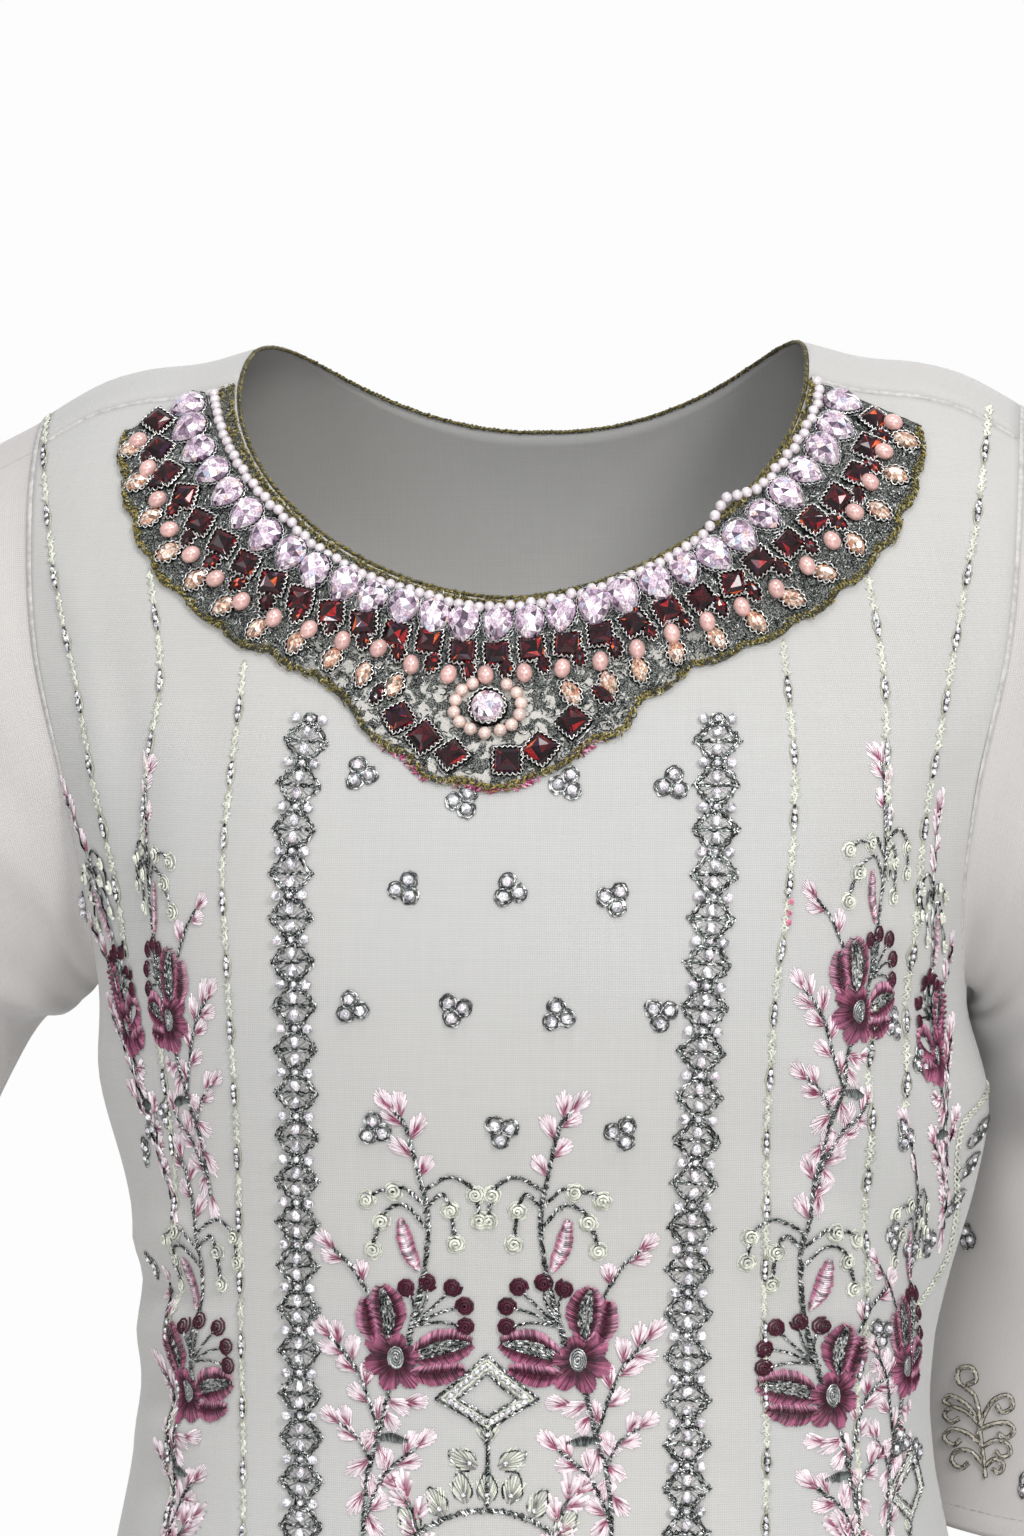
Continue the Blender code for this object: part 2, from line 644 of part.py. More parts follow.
def patch_rows(way):
    """Offset and height of each row of the patch, for columns at way along half its length."""
    column = np.arange(len(way))
    width = curve(PATCH_WIDTH, "width", way)
    lobes = np.abs(np.sin(np.pi * (way * SCALLOPS / 2.0 + 0.5)))
    width = width + SCALLOP_DEPTH * (lobes - LOBE_MEAN)
    # Three columns to a jewel, the first half of one at the centre: two on its crown, one in the gap.
    in_gap = column % 3 == 1
    offsets, heights = [], []
    for jewel in JEWELS:
        offsets.append(np.full(len(way), jewel.offset))
        heights.append(np.where(in_gap, jewel.gap, jewel.crown))
    last = JEWELS[-1].offset
    offsets.append(last + (width - last) * OUTER_SHARE)
    pendant = np.hypot(offsets[-1] - PENDANT_OFFSET, way * PATCH_HALF_LENGTH) < PENDANT_RADIUS
    heights.append(np.where(pendant, PENDANT_HEIGHT, np.where(in_gap, PATCH_BASE, OUTER_CROWN)))
    offsets.append(width - EDGE_CORD_WIDTH)
    heights.append(np.full(len(way), EDGE_CORD_HEIGHT))
    offsets.append(width)
    heights.append(np.full(len(way), PATCH_BASE))
    return np.array(offsets), np.array(heights)


def build_patch():
    """Jewelled applique on the front, its jewels raised in the outer points."""
    half = (CRYSTALS * 3 + 1) // 2
    stops = (np.arange(half) + 0.5) / (half - 0.5)
    dense = patch_turns(400)
    turns = np.interp(stops, np.linspace(0.0, 1.0, len(dense)), dense)
    offsets, heights = patch_rows(stops)
    share, level = [], []
    for row in offsets:
        row_share, row_level = patch_base(turns, row)
        share.append(np.concatenate([-row_share[::-1], row_share]))
        level.append(np.concatenate([row_level[::-1], row_level]))
    share, level = np.array(share), np.array(level)
    heights = np.hstack([heights[:, ::-1], heights])
    normal = form_normal(share, level, -1)
    under = form_point(share, level, -1) + PATCH_LIFT * normal
    over = under + heights[..., None] * normal
    return build_wall("neck_patch", over, under, JEWELLED)


def border_shares(level, hand):
    """Shares of a border's two edges at one level, in order along X."""
    shares, arc = half_section_arc(level, -1, hand)
    return sorted(hand * np.interp(border_edges(level, hand), arc, shares))


def build_border(name, hand):
    """Beaded band down the front, straight with the cloth's grain."""
    upper = np.linspace(UNDERARM, BORDER_TOP, 6)[1:]
    levels = np.concatenate([LOWER_LEVELS, upper])
    share = np.array([border_shares(level, hand) for level in levels])
    level = np.repeat(levels[:, None], 2, axis=1)
    lift = np.where(level >= UNDERARM, BORDER_UPPER_LIFT, SEAM)[..., None]
    normal = form_normal(share, level, -1)
    under = form_point(share, level, -1) + lift * normal
    over = under + BORDER_HEIGHT * normal
    return build_wall(name, over, under, ZARI)


# Salwar

def belt_ring(turn, grow):
    depth = np.where(np.cos(turn) > 0, BELT_FRONT, BELT_BACK) + grow
    return (BELT_HALF_WIDTH + grow) * np.sin(turn), -depth * np.cos(turn)


def build_belt():
    turn = np.linspace(0.0, 2 * np.pi, BELT_SEGMENTS, endpoint=False)
    outer, inner = [], []
    for share in (0.0, 0.5, 1.0):
        height = np.full(BELT_SEGMENTS, BELT_BOTTOM + (BELT_TOP - BELT_BOTTOM) * share)
        grow = BELT_FLARE * (1.0 - share)
        outer.append(np.stack([*belt_ring(turn, grow), height], axis=-1))
        inner.append(np.stack([*belt_ring(turn, grow - BAND_WALL), height], axis=-1))
    return build_wall("salwar_belt", np.array(outer), np.array(inner), SALWAR_CLOTH, around=True)


def leg_grid():
    """Outer surface of the wearer's left leg, from its centre front seam round to the back."""
    way = np.linspace(0.0, 1.0, LEG_COLUMNS + 1)
    tube_heights = np.linspace(CUFF_TOP, LEG_TUBE_TOP, LEG_TUBE_ROWS)
    hip_heights = np.linspace(LEG_HIP_BOTTOM, LEG[-1].height, LEG_HIP_ROWS)
    ring = []
    for height in np.concatenate([tube_heights, hip_heights]):
        value = {name: float(curve(LEG, name, height)) for name in Leg._fields}
        hip_turn = np.pi * way
        hip_depth = np.where(np.cos(hip_turn) > 0, value["hip_front"], value["hip_back"])
        hip = np.stack([value["hip_width"] * np.sin(hip_turn), -hip_depth * np.cos(hip_turn)], axis=-1)
        slit = LEG_SEAM / (2 * np.pi * value["half_depth"])
        leg_turn = 2 * np.pi * (slit + (1.0 - 2.0 * slit) * way)
        tube_out = value["out"] - value["half_width"] * np.cos(leg_turn)
        tube_deep = value["deep"] - value["half_depth"] * np.sin(leg_turn)
        tube = np.stack([tube_out, tube_deep], axis=-1)
        middle = np.array([value["out"] * LEG_MIDDLE, value["deep"]])
        flat = hip + (tube - hip) * value["joined"]
        pleat = value["pleat"] * np.sin(2 * np.pi * PLEATS * way) * np.sin(np.pi * way) ** 0.5
        flat = flat + unit(flat - middle) * pleat[:, None]
        flat[:, 0] = np.maximum(flat[:, 0], CENTRE_GAP)
        ring.append(np.column_stack([flat, np.full(len(way), height)]))
    return np.array(ring)


def build_leg(name, hand):
    outer = leg_grid()
    facing = grid_normals(outer, around=False)
    centre = outer.mean(axis=1, keepdims=True)
    outward = np.sign(np.sum(facing * (outer - centre)))
    inner = outer - WALL * facing * outward
    inner[..., 0] = np.maximum(inner[..., 0], SEAM / 2)
    if hand < 0:
        outer, inner = mirrored(outer), mirrored(inner)
    return build_wall(name, outer, inner, SALWAR_CLOTH)


def build_ankle_cuff(name, hand):
    turn = np.linspace(0.0, 2 * np.pi, CUFF_SEGMENTS, endpoint=False)
    top = LEG[0]
    outer, inner = [], []
    for height in (CUFF_BOTTOM, (CUFF_BOTTOM + CUFF_TOP) / 2, CUFF_TOP - SEAM):
        for grow, rings in ((0.0, outer), (-BAND_WALL, inner)):
            out = hand * (top.out + (top.half_width + grow) * np.sin(turn))
            deep = top.deep - (top.half_depth + grow) * np.cos(turn)
            rings.append(np.stack([out, deep, np.full(CUFF_SEGMENTS, height)], axis=-1))
    return build_wall(name, np.array(outer), np.array(inner), SALWAR_CLOTH, around=True)


def build_suit():
    clear_scene()
    front = panel(-1)
    back = panel(1)
    build_wall("kameez_front", front[0], front[1], CLOTH)
    build_wall("kameez_back", back[0], back[1], CLOTH)
    outer, inner = sleeve(front, back, SLEEVE_LEFT)
    build_wall("sleeve_left", outer, inner, SLEEVE_CLOTH, around=True)
    outer, inner = sleeve(front, back, SLEEVE_RIGHT)
    build_wall("sleeve_right", mirrored(outer), mirrored(inner), SLEEVE_CLOTH, around=True)
    build_binding(front, back)
    build_patch()
    build_border("border_left", 1)
    build_border("border_right", -1)
    build_belt()
    for name, hand in (("left", 1), ("right", -1)):
        build_leg("salwar_leg_" + name, hand)
        build_ankle_cuff("salwar_cuff_" + name, hand)


build_suit()
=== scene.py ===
"""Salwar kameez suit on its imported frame: cloth shells, jewelled neck patch, beads and embroidery.

Metres, +Z up, the front faces -Y. A place on the kameez is a share of the panel's width from the
centre (0) to the side (1), and a level, the height unrolled over the shoulder.
"""

from collections import namedtuple

import bmesh
import bpy
import numpy as np
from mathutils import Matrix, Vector
from mathutils.bvhtree import BVHTree


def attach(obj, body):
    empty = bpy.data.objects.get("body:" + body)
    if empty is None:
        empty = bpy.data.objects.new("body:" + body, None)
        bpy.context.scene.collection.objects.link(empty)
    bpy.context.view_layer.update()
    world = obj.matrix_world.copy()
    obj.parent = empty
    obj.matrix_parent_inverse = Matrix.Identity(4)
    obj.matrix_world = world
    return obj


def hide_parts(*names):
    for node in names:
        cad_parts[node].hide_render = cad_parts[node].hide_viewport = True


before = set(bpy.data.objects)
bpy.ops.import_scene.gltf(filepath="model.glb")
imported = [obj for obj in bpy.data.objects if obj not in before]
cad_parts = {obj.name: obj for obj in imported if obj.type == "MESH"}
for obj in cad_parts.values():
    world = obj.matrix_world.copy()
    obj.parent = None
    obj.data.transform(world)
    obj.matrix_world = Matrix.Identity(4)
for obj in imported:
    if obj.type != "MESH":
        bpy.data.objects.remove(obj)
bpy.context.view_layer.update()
rng = np.random.default_rng(11)

# Form, as the frame's solids are made
SEAM = 0.0003
HEM = -1.02
SLIT_TOP = -0.58
SLIT_OPENING = np.radians(9.0)
UNDERARM = -0.247
SECTION_POWER = 2.3
CAP = 0.11
SEAM_DROP = 0.016
ARMHOLE_RATE = np.radians(102.8)
NECK_HALF_WIDTH = 0.1085
NECK_DEPTH = 0.102
NECK_BACK_DROP = 0.030
NECK_POWER = 1.8
NECK_BACK_POWER = 2.3


def named_rows(kind, values):
    """A table, whose rows are all of one named kind."""
    return tuple(kind(*row) for row in values)


Section = namedtuple("Section", "level half_width front back")
BODY = named_rows(Section, (
    (-1.020, 0.2450, 0.1350, 0.1220),
    (-0.800, 0.2260, 0.1290, 0.1170),
    (-0.660, 0.2060, 0.1230, 0.1120),
    (-0.580, 0.1900, 0.1190, 0.1040),
    (-0.520, 0.1760, 0.1130, 0.0940),
    (-0.460, 0.1605, 0.1060, 0.0800),
    (-0.410, 0.1525, 0.1010, 0.0710),
    (-0.360, 0.1565, 0.1050, 0.0710),
    (-0.320, 0.1630, 0.1120, 0.0750),
    (-0.285, 0.1675, 0.1200, 0.0800),
    (-0.247, 0.1670, 0.1260, 0.0850),
    (-0.210, 0.1755, 0.1225, 0.0870),
    (-0.175, 0.1900, 0.1140, 0.0885),
    (-0.116, 0.2235, 0.0925, 0.0860),
    (-0.060, 0.2510, 0.0840, 0.0810),
    (0.000, 0.2820, 0.0800, 0.0750),
    (0.065, 0.3220, 0.0780, 0.0720),
))
Ridge = namedtuple("Ridge", "out height")
SHOULDER = named_rows(Ridge, (
    (0.000, 0.0060),
    (0.060, 0.0050),
    (0.1045, 0.0000),
    (0.127, -0.0060),
    (0.150, -0.0085),
    (0.165, -0.0125),
    (0.178, -0.0190),
    (0.190, -0.0265),
    (0.220, -0.0500),
    (0.350, -0.1600),
))
BELOW_HEM = -9.0
Fold = namedtuple("Fold", "side angle spread top full end rise")
FOLDS = named_rows(Fold, (
    (-1, -62, 8.0, -0.44, -1.06, BELOW_HEM, 0.014),
    (-1, -38, 8.0, -0.50, -1.08, BELOW_HEM, -0.013),
    (-1, -17, 8.5, -0.55, -1.10, BELOW_HEM, 0.011),
    (-1, 6, 9.0, -0.52, -1.10, BELOW_HEM, -0.010),
    (-1, 27, 8.0, -0.48, -1.06, BELOW_HEM, 0.012),
    (-1, 49, 8.0, -0.46, -1.08, BELOW_HEM, -0.013),
    (-1, 67, 7.5, -0.42, -1.06, BELOW_HEM, 0.014),
    (1, -60, 8.0, -0.46, -1.06, BELOW_HEM, 0.014),
    (1, -35, 8.0, -0.50, -1.08, BELOW_HEM, -0.012),
    (1, -10, 9.0, -0.52, -1.10, BELOW_HEM, 0.012),
    (1, 14, 8.5, -0.50, -1.08, BELOW_HEM, -0.011),
    (1, 38, 8.0, -0.48, -1.06, BELOW_HEM, 0.013),
    (1, 61, 8.0, -0.46, -1.08, BELOW_HEM, -0.012),
    (0, 90, 24.0, UNDERARM, -0.300, -0.40, 0.009),
    (0, -90, 24.0, -0.27, -0.330, -0.42, -0.007),
))
SleeveRing = namedtuple("SleeveRing", "inner_out inner_height outer_out outer_height back half_depth")
SLEEVE_LEFT = named_rows(SleeveRing, (
    (0.1715, -0.2480, 0.222, -0.048, 0.002, 0.064),
    (0.1755, -0.2520, 0.254, -0.085, 0.009, 0.066),
    (0.1775, -0.2600, 0.277, -0.135, 0.022, 0.066),
    (0.1760, -0.2780, 0.287, -0.195, 0.040, 0.065),
    (0.1690, -0.3050, 0.284, -0.262, 0.058, 0.062),
    (0.1580, -0.3450, 0.272, -0.330, 0.071, 0.058),
    (0.1460, -0.3950, 0.250, -0.395, 0.081, 0.052),
    (0.1370, -0.4370, 0.225, -0.452, 0.089, 0.046),
    (0.1320, -0.4560, 0.216, -0.476, 0.092, 0.044),
))
SLEEVE_RIGHT = named_rows(SleeveRing, (
    (0.1705, -0.2480, 0.224, -0.046, 0.000, 0.064),
    (0.1745, -0.2520, 0.260, -0.078, 0.002, 0.067),
    (0.1840, -0.2590, 0.294, -0.125, 0.005, 0.068),
    (0.1990, -0.2690, 0.320, -0.180, 0.010, 0.067),
    (0.2180, -0.3020, 0.340, -0.240, 0.016, 0.064),
    (0.2400, -0.3450, 0.357, -0.300, 0.020, 0.060),
    (0.2620, -0.3950, 0.372, -0.362, 0.016, 0.055),
    (0.2810, -0.4400, 0.381, -0.420, 0.006, 0.049),
    (0.2930, -0.4800, 0.386, -0.466, -0.006, 0.045),
))
Leg = namedtuple("Leg", "height joined hip_width hip_front hip_back out deep half_width half_depth pleat")
LEG = named_rows(Leg, (
    (-1.305, 1.00, 0.160, 0.095, 0.090, 0.102, 0.000, 0.052, 0.060, 0.0005),
    (-1.220, 1.00, 0.160, 0.095, 0.090, 0.101, 0.002, 0.060, 0.069, 0.0012),
    (-1.100, 1.00, 0.160, 0.095, 0.090, 0.100, 0.004, 0.067, 0.078, 0.0020),
    (-0.950, 1.00, 0.160, 0.095, 0.090, 0.098, 0.005, 0.075, 0.087, 0.0028),
    (-0.800, 1.00, 0.160, 0.095, 0.090, 0.093, 0.005, 0.082, 0.096, 0.0035),
    (-0.730, 0.98, 0.160, 0.096, 0.092, 0.088, 0.004, 0.085, 0.099, 0.0040),
    (-0.680, 0.60, 0.159, 0.096, 0.092, 0.086, 0.002, 0.082, 0.098, 0.0045),
    (-0.620, 0.20, 0.154, 0.094, 0.088, 0.085, 0.000, 0.078, 0.095, 0.0050),
    (-0.5503, 0.00, 0.138, 0.086, 0.074, 0.085, 0.000, 0.078, 0.095, 0.0045),
))
BELT_TOP = -0.40
BELT_BOTTOM = -0.55
BELT_HALF_WIDTH = 0.134
BELT_FRONT = 0.084
BELT_BACK = 0.0693
BELT_FLARE = 0.004
CUFF_TOP = -1.305
CUFF_BOTTOM = -1.36
PLEATS = 8
BELT_ROWS, BELT_COLUMNS = 20, 160
CUFF_ROWS, CUFF_COLUMNS = 22, 72
LEG_ROWS, LEG_COLUMNS = 66, 76
LEG_MIDDLE = 0.8
LEG_SLIT = 0.8 * SEAM
CENTRE_GAP = 0.00025
SETTLING_STEPS = 8


def curve(rows, column, at):
    """Smooth curve through one column of a table, read at the first column's values."""
    keys = np.array([row[0] for row in rows])
    values = np.array([getattr(row, column) for row in rows])
    slopes = np.gradient(values, keys)
    at = np.clip(at, keys[0], keys[-1])
    low = np.clip(np.searchsorted(keys, at) - 1, 0, len(keys) - 2)
    span = keys[low + 1] - keys[low]
    part = (at - keys[low]) / span
    rest = 1.0 - part
    start = (1.0 + 2.0 * part) * rest ** 2 * values[low] + part * rest ** 2 * span * slopes[low]
    end = part ** 2 * (3.0 - 2.0 * part) * values[low + 1] - part ** 2 * rest * span * slopes[low + 1]
    return start + end


def power(value, exponent):
    return np.sign(value) * np.abs(value) ** exponent


def unit(vectors):
    return vectors / np.maximum(np.linalg.norm(vectors, axis=-1, keepdims=True), 1e-12)


def smooth_step(value):
    value = np.clip(value, 0.0, 1.0)
    return value * value * (3.0 - 2.0 * value)


def shoulder_line(out):
    return curve(SHOULDER, "height", np.abs(out))


def ridge_level(out):
    return shoulder_line(out) + CAP * (np.pi / 2 - 1.0)


def edge_angle(level):
    armhole = ARMHOLE_RATE * np.sqrt(np.maximum(level - UNDERARM, 0.0))
    slit = SLIT_OPENING * np.clip((SLIT_TOP - level) / (SLIT_TOP - HEM), 0.0, 1.0)
    return np.pi / 2 - armhole - slit


def fold_swell(angle, level, side):
    total = np.zeros(np.broadcast(angle, level).shape)
    for fold in FOLDS:
        if fold.side in (0, side):
            across = np.exp(-0.5 * ((np.degrees(angle) - fold.angle) / fold.spread) ** 2)
            down = smooth_step((fold.top - level) / (fold.top - fold.full))
            fade = smooth_step((level - fold.end) / (fold.full - fold.end))
            total = total + fold.rise * across * down * fade
    return total


def form_point(share, level, side):
    """Outer surface of the kameez. side is -1 for the front and 1 for the back panel."""
    share, level = np.broadcast_arrays(np.asarray(share, float), np.asarray(level, float))
    low = level
    for _ in range(SETTLING_STEPS):
        angle = share * edge_angle(low)
        half_width = curve(BODY, "half_width", low)
        out = half_width * power(np.sin(angle), 2.0 / SECTION_POWER)
        low = np.minimum(level, 2.0 * ridge_level(out) - level)
    turn = np.minimum((ridge_level(out) - level) / CAP, np.pi / 2)
    height = np.where(turn < np.pi / 2, shoulder_line(out) - CAP * (1.0 - np.cos(turn)), level)
    depth = np.where(side * turn < 0, curve(BODY, "front", height), curve(BODY, "back", height))
    forward = side * depth * power(np.cos(angle), 2.0 / SECTION_POWER) * np.sin(turn)
    swell = 1.0 + fold_swell(angle, low, side) / half_width
    return np.stack([out * swell, forward * swell, height], axis=-1)


def form_normal(share, level, side):
    step = 1e-4
    across = form_point(share + step, level, side) - form_point(share - step, level, side)
    upward = form_point(share, level + step, side) - form_point(share, level - step, side)
    return unit(np.cross(across, upward) * -side)


def front_at(out, height):
    """Place on the front that is seen straight on at (out, height), as share and level."""
    drop = shoulder_line(out) - height
    turn = np.arccos(np.clip(1.0 - drop / CAP, 0.0, 1.0))
    level = np.where(drop < CAP, ridge_level(out) - CAP * turn, height)
    half_width = curve(BODY, "half_width", level)
    angle = np.arcsin(np.clip(power(out / half_width, SECTION_POWER / 2.0), -1.0, 1.0))
    return np.clip(angle / edge_angle(level), -1.0, 1.0), level


def seam_turn():
    return np.arccos(1.0 - SEAM_DROP / CAP)


def seam_place(out, side):
    level = ridge_level(out) + side * CAP * seam_turn()
    low = ridge_level(out) - CAP * seam_turn()
    angle = np.arcsin((out / curve(BODY, "half_width", low)) ** (SECTION_POWER / 2.0))
    return angle / edge_angle(low), level


def shoulder_tip():
    out = 0.19
    for _ in range(30):
        low = ridge_level(out) - CAP * seam_turn()
        out = float(curve(BODY, "half_width", low) * np.sin(edge_angle(low)) ** (2.0 / SECTION_POWER))
    return out


def neck_front(turn):
    """Neckline seen from the front. turn is 0 at the shoulder seam and 90 degrees at the centre."""
    seam_height = shoulder_line(NECK_HALF_WIDTH) - SEAM_DROP
    out = NECK_HALF_WIDTH * power(np.cos(turn), 2.0 / NECK_POWER)
    height = seam_height - (NECK_DEPTH + seam_height) * power(np.sin(turn), 2.0 / NECK_POWER)
    return out, height


def neck_back(way):
    out = NECK_HALF_WIDTH * (1.0 - way ** NECK_BACK_POWER) ** (1.0 / NECK_BACK_POWER)
    centre_turn = np.arccos(1.0 - (shoulder_line(0.0) + NECK_BACK_DROP) / CAP)
    turn = seam_turn() - (seam_turn() + centre_turn) * way
    low = ridge_level(out) - CAP * np.abs(turn)
    angle = np.arcsin((out / curve(BODY, "half_width", low)) ** (SECTION_POWER / 2.0))
    return angle / edge_angle(low), ridge_level(out) + CAP * turn


# Cloth

Crease = namedtuple("Crease", "out height to_out to_height width rise")
FRONT_CREASES = named_rows(Crease, (
    (0.100, -0.262, 0.150, -0.330, 0.0060, 0.0022),
    (0.112, -0.262, 0.156, -0.312, 0.0050, -0.0018),
    (0.090, -0.292, 0.150, -0.372, 0.0065, -0.0020),
    (0.098, -0.318, 0.152, -0.398, 0.0060, 0.0022),
    (0.085, -0.345, 0.140, -0.430, 0.0070, -0.0018),
    (0.110, -0.352, 0.152, -0.440, 0.0055, 0.0018),
    (0.075, -0.395, 0.125, -0.480, 0.0080, 0.0016),
    (0.140, -0.215, 0.160, -0.262, 0.0060, 0.0020),
    (0.125, -0.200, 0.152, -0.268, 0.0070, -0.0018),
    (-0.150, -0.344, -0.112, -0.340, 0.0055, 0.0034),
    (-0.150, -0.360, -0.118, -0.362, 0.0050, -0.0034),
    (-0.150, -0.382, -0.108, -0.376, 0.0062, 0.0036),
    (-0.148, -0.402, -0.112, -0.404, 0.0056, -0.0034),
    (-0.150, -0.420, -0.110, -0.414, 0.0050, 0.0020),
    (-0.150, -0.436, -0.122, -0.440, 0.0050, -0.0020),
    (-0.160, -0.110, -0.146, -0.235, 0.0070, -0.0016),
    (-0.176, -0.080, -0.160, -0.190, 0.0060, 0.0016),
    (-0.120, -0.120, -0.118, -0.230, 0.0090, -0.0010),
    (0.165, -0.070, 0.150, -0.200, 0.0070, -0.0016),
    (0.178, -0.060, 0.166, -0.160, 0.0060, 0.0014),
    (0.122, -0.110, 0.124, -0.220, 0.0090, -0.0010),
    (-0.060, -0.262, 0.060, -0.266, 0.0150, -0.0012),
    (-0.085, -0.300, -0.020, -0.420, 0.0160, 0.0010),
    (0.020, -0.300, 0.070, -0.430, 0.0170, -0.0010),
    (-0.150, -0.520, -0.060, -0.680, 0.0200, 0.0020),
    (0.160, -0.500, 0.060, -0.700, 0.0200, 0.0020),
))
BACK_CREASES = named_rows(Crease, (
    (-0.150, -0.350, -0.060, -0.358, 0.0080, 0.0022),
    (-0.145, -0.385, -0.050, -0.378, 0.0080, -0.0022),
    (-0.145, -0.410, -0.065, -0.412, 0.0070, 0.0020),
    (0.150, -0.345, 0.060, -0.362, 0.0080, 0.0022),
    (0.145, -0.378, 0.045, -0.388, 0.0080, -0.0022),
    (0.145, -0.412, 0.070, -0.416, 0.0070, 0.0020),
    (-0.150, -0.120, -0.090, -0.300, 0.0140, 0.0018),
    (0.150, -0.120, 0.090, -0.300, 0.0140, 0.0018),
    (-0.020, -0.120, -0.015, -0.330, 0.0180, -0.0014),
    (0.060, -0.440, 0.100, -0.660, 0.0180, 0.0020),
    (-0.060, -0.440, -0.110, -0.660, 0.0180, 0.0020),
))
CLOTH_THICK = 0.0006
BAND_THICK = 0.0012
HEM_DEPTH = 0.022
HEM_RISE = 0.0004
CREASE_BOW = 0.10
CREASE_OVERRUN = 0.18
CREASE_FADE = 0.45
EDGE_SHARE = 0.97


def crease_rise(out, height, creases):
    """Soft troughs and ridges along short lines, seen straight on."""
    total = np.zeros(out.shape)
    for crease in creases:
        run = np.array([crease.to_out - crease.out, crease.to_height - crease.height])
        length = np.hypot(*run)
        run = run / length
        along = ((out - crease.out) * run[0] + (height - crease.height) * run[1]) / length
        bow = CREASE_BOW * length * np.sin(np.pi * np.clip(along, 0.0, 1.0))
        across = (out - crease.out) * -run[1] + (height - crease.height) * run[0] - bow
        fade_in = smooth_step((along + CREASE_OVERRUN) / CREASE_FADE)
        taper = fade_in * smooth_step((1.0 + CREASE_OVERRUN - along) / CREASE_FADE)
        total += crease.rise * taper * np.exp(-0.5 * (across / crease.width) ** 2)
    return total


def kameez(share, level, side, lift=0.0):
    """Point and normal of the kameez's creased cloth, lifted off it by lift."""
    point = form_point(share, level, side)
    normal = form_normal(share, level, side)
    rise = crease_rise(point[..., 0], level, FRONT_CREASES if side < 0 else BACK_CREASES)
    rise = rise + HEM_RISE * smooth_step((HEM + HEM_DEPTH - level) / 0.001)
    edge = smooth_step((np.abs(share) - EDGE_SHARE) / 0.03)
    rise = rise * (1.0 - edge) + lift
    return point + normal * rise[..., None], normal


def make_mesh(name, points, loops, sizes, smooth=True):
    mesh = bpy.data.meshes.new(name)
    mesh.vertices.add(len(points))
    mesh.vertices.foreach_set("co", np.asarray(points, np.float32).ravel())
    mesh.loops.add(len(loops))
    mesh.loops.foreach_set("vertex_index", np.asarray(loops, np.int32))
    starts = np.concatenate([[0], np.cumsum(sizes)[:-1]]).astype(np.int32)
    mesh.polygons.add(len(sizes))
    mesh.polygons.foreach_set("loop_start", starts)
    mesh.update(calc_edges=True)
    if smooth:
        mesh.shade_smooth()
    else:
        mesh.shade_flat()
    return mesh


def link(name, mesh, material):
    piece = bpy.data.objects.new(name, mesh)
    bpy.context.scene.collection.objects.link(piece)
    mesh.materials.append(material)
    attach(piece, "root")
    return piece


def grid_quads(rows, columns, around=False):
    across = columns if around else columns - 1
    row, column = np.meshgrid(np.arange(rows - 1), np.arange(across), indexing="ij")
    beside = (column + 1) % columns
    corners = (row * columns + column, row * columns + beside, (row + 1) * columns + beside)
    return np.stack([*corners, (row + 1) * columns + column], axis=-1).reshape(-1, 4)


def edge_loop(rows, columns, around):
    """Vertex numbers round the edge of a grid, as one or two closed loops."""
    grid = np.arange(rows * columns).reshape(rows, columns)
    if around:
        return [grid[0], grid[-1][::-1]]
    return [np.concatenate([grid[0, :-1], grid[:-1, -1], grid[-1, :0:-1], grid[:0:-1, 0]])]


def shell(name, outer, normal, grain, material, around=False, thick=CLOTH_THICK):
    """Thin closed cloth between a grid of points and the same grid set in; grain is its (u, v) in metres."""
    rows, columns = outer.shape[:2]
    count = rows * columns
    points = np.concatenate([outer.reshape(-1, 3), (outer - thick * normal).reshape(-1, 3)])
    quads = grid_quads(rows, columns, around)
    a, b, c = (outer.reshape(-1, 3)[quads[:, k]] for k in (0, 1, 3))
    facing = np.sum(np.cross(b - a, c - a) * normal.reshape(-1, 3)[quads[:, 0]])
    if facing < 0:
        quads = quads[:, ::-1]
    faces = [quads, quads[:, ::-1] + count]
    for loop in edge_loop(rows, columns, around):
        if facing < 0:
            loop = loop[::-1]
        beside = np.roll(loop, -1)
        faces.append(np.stack([beside, loop, loop + count, beside + count], axis=-1))
    faces = np.concatenate(faces)
    mesh = make_mesh(name, points, faces.ravel(), np.full(len(faces), 4))
    layer = mesh.uv_layers.new(name="grain")
    both = np.concatenate([grain.reshape(-1, 2), grain.reshape(-1, 2)])
    layer.data.foreach_set("uv", both[faces.ravel()].astype(np.float32).ravel())
    return link(name, mesh, material)


def grid_normals(points, around):
    up = np.gradient(points, axis=0)
    if around:
        across = np.roll(points, -1, axis=1) - np.roll(points, 1, axis=1)
    else:
        across = np.gradient(points, axis=1)
    normal = unit(np.cross(across, up))
    centre = points.mean(axis=1, keepdims=True)
    return normal * np.sign(np.sum(normal * (points - centre)))


def arc_along(points, axis):
    steps = np.linalg.norm(np.diff(points, axis=axis), axis=-1)
    return np.insert(np.cumsum(steps, axis=axis), 0, 0.0, axis=axis)


def along_path(stops, arc, path):
    """Points of a path at distances along it, where arc gives the distance of each known point."""
    return np.stack([np.interp(stops, arc, column) for column in path.T], axis=-1)


PANEL_HALF_COLUMNS = {-1: 60, 1: 44}
PANEL_LOWER_ROWS = {-1: 130, 1: 80}
PANEL_UPPER_ROWS = {-1: 56, 1: 40}
NECK_COLUMN_SHARE = {-1: 0.62, 1: 0.68}


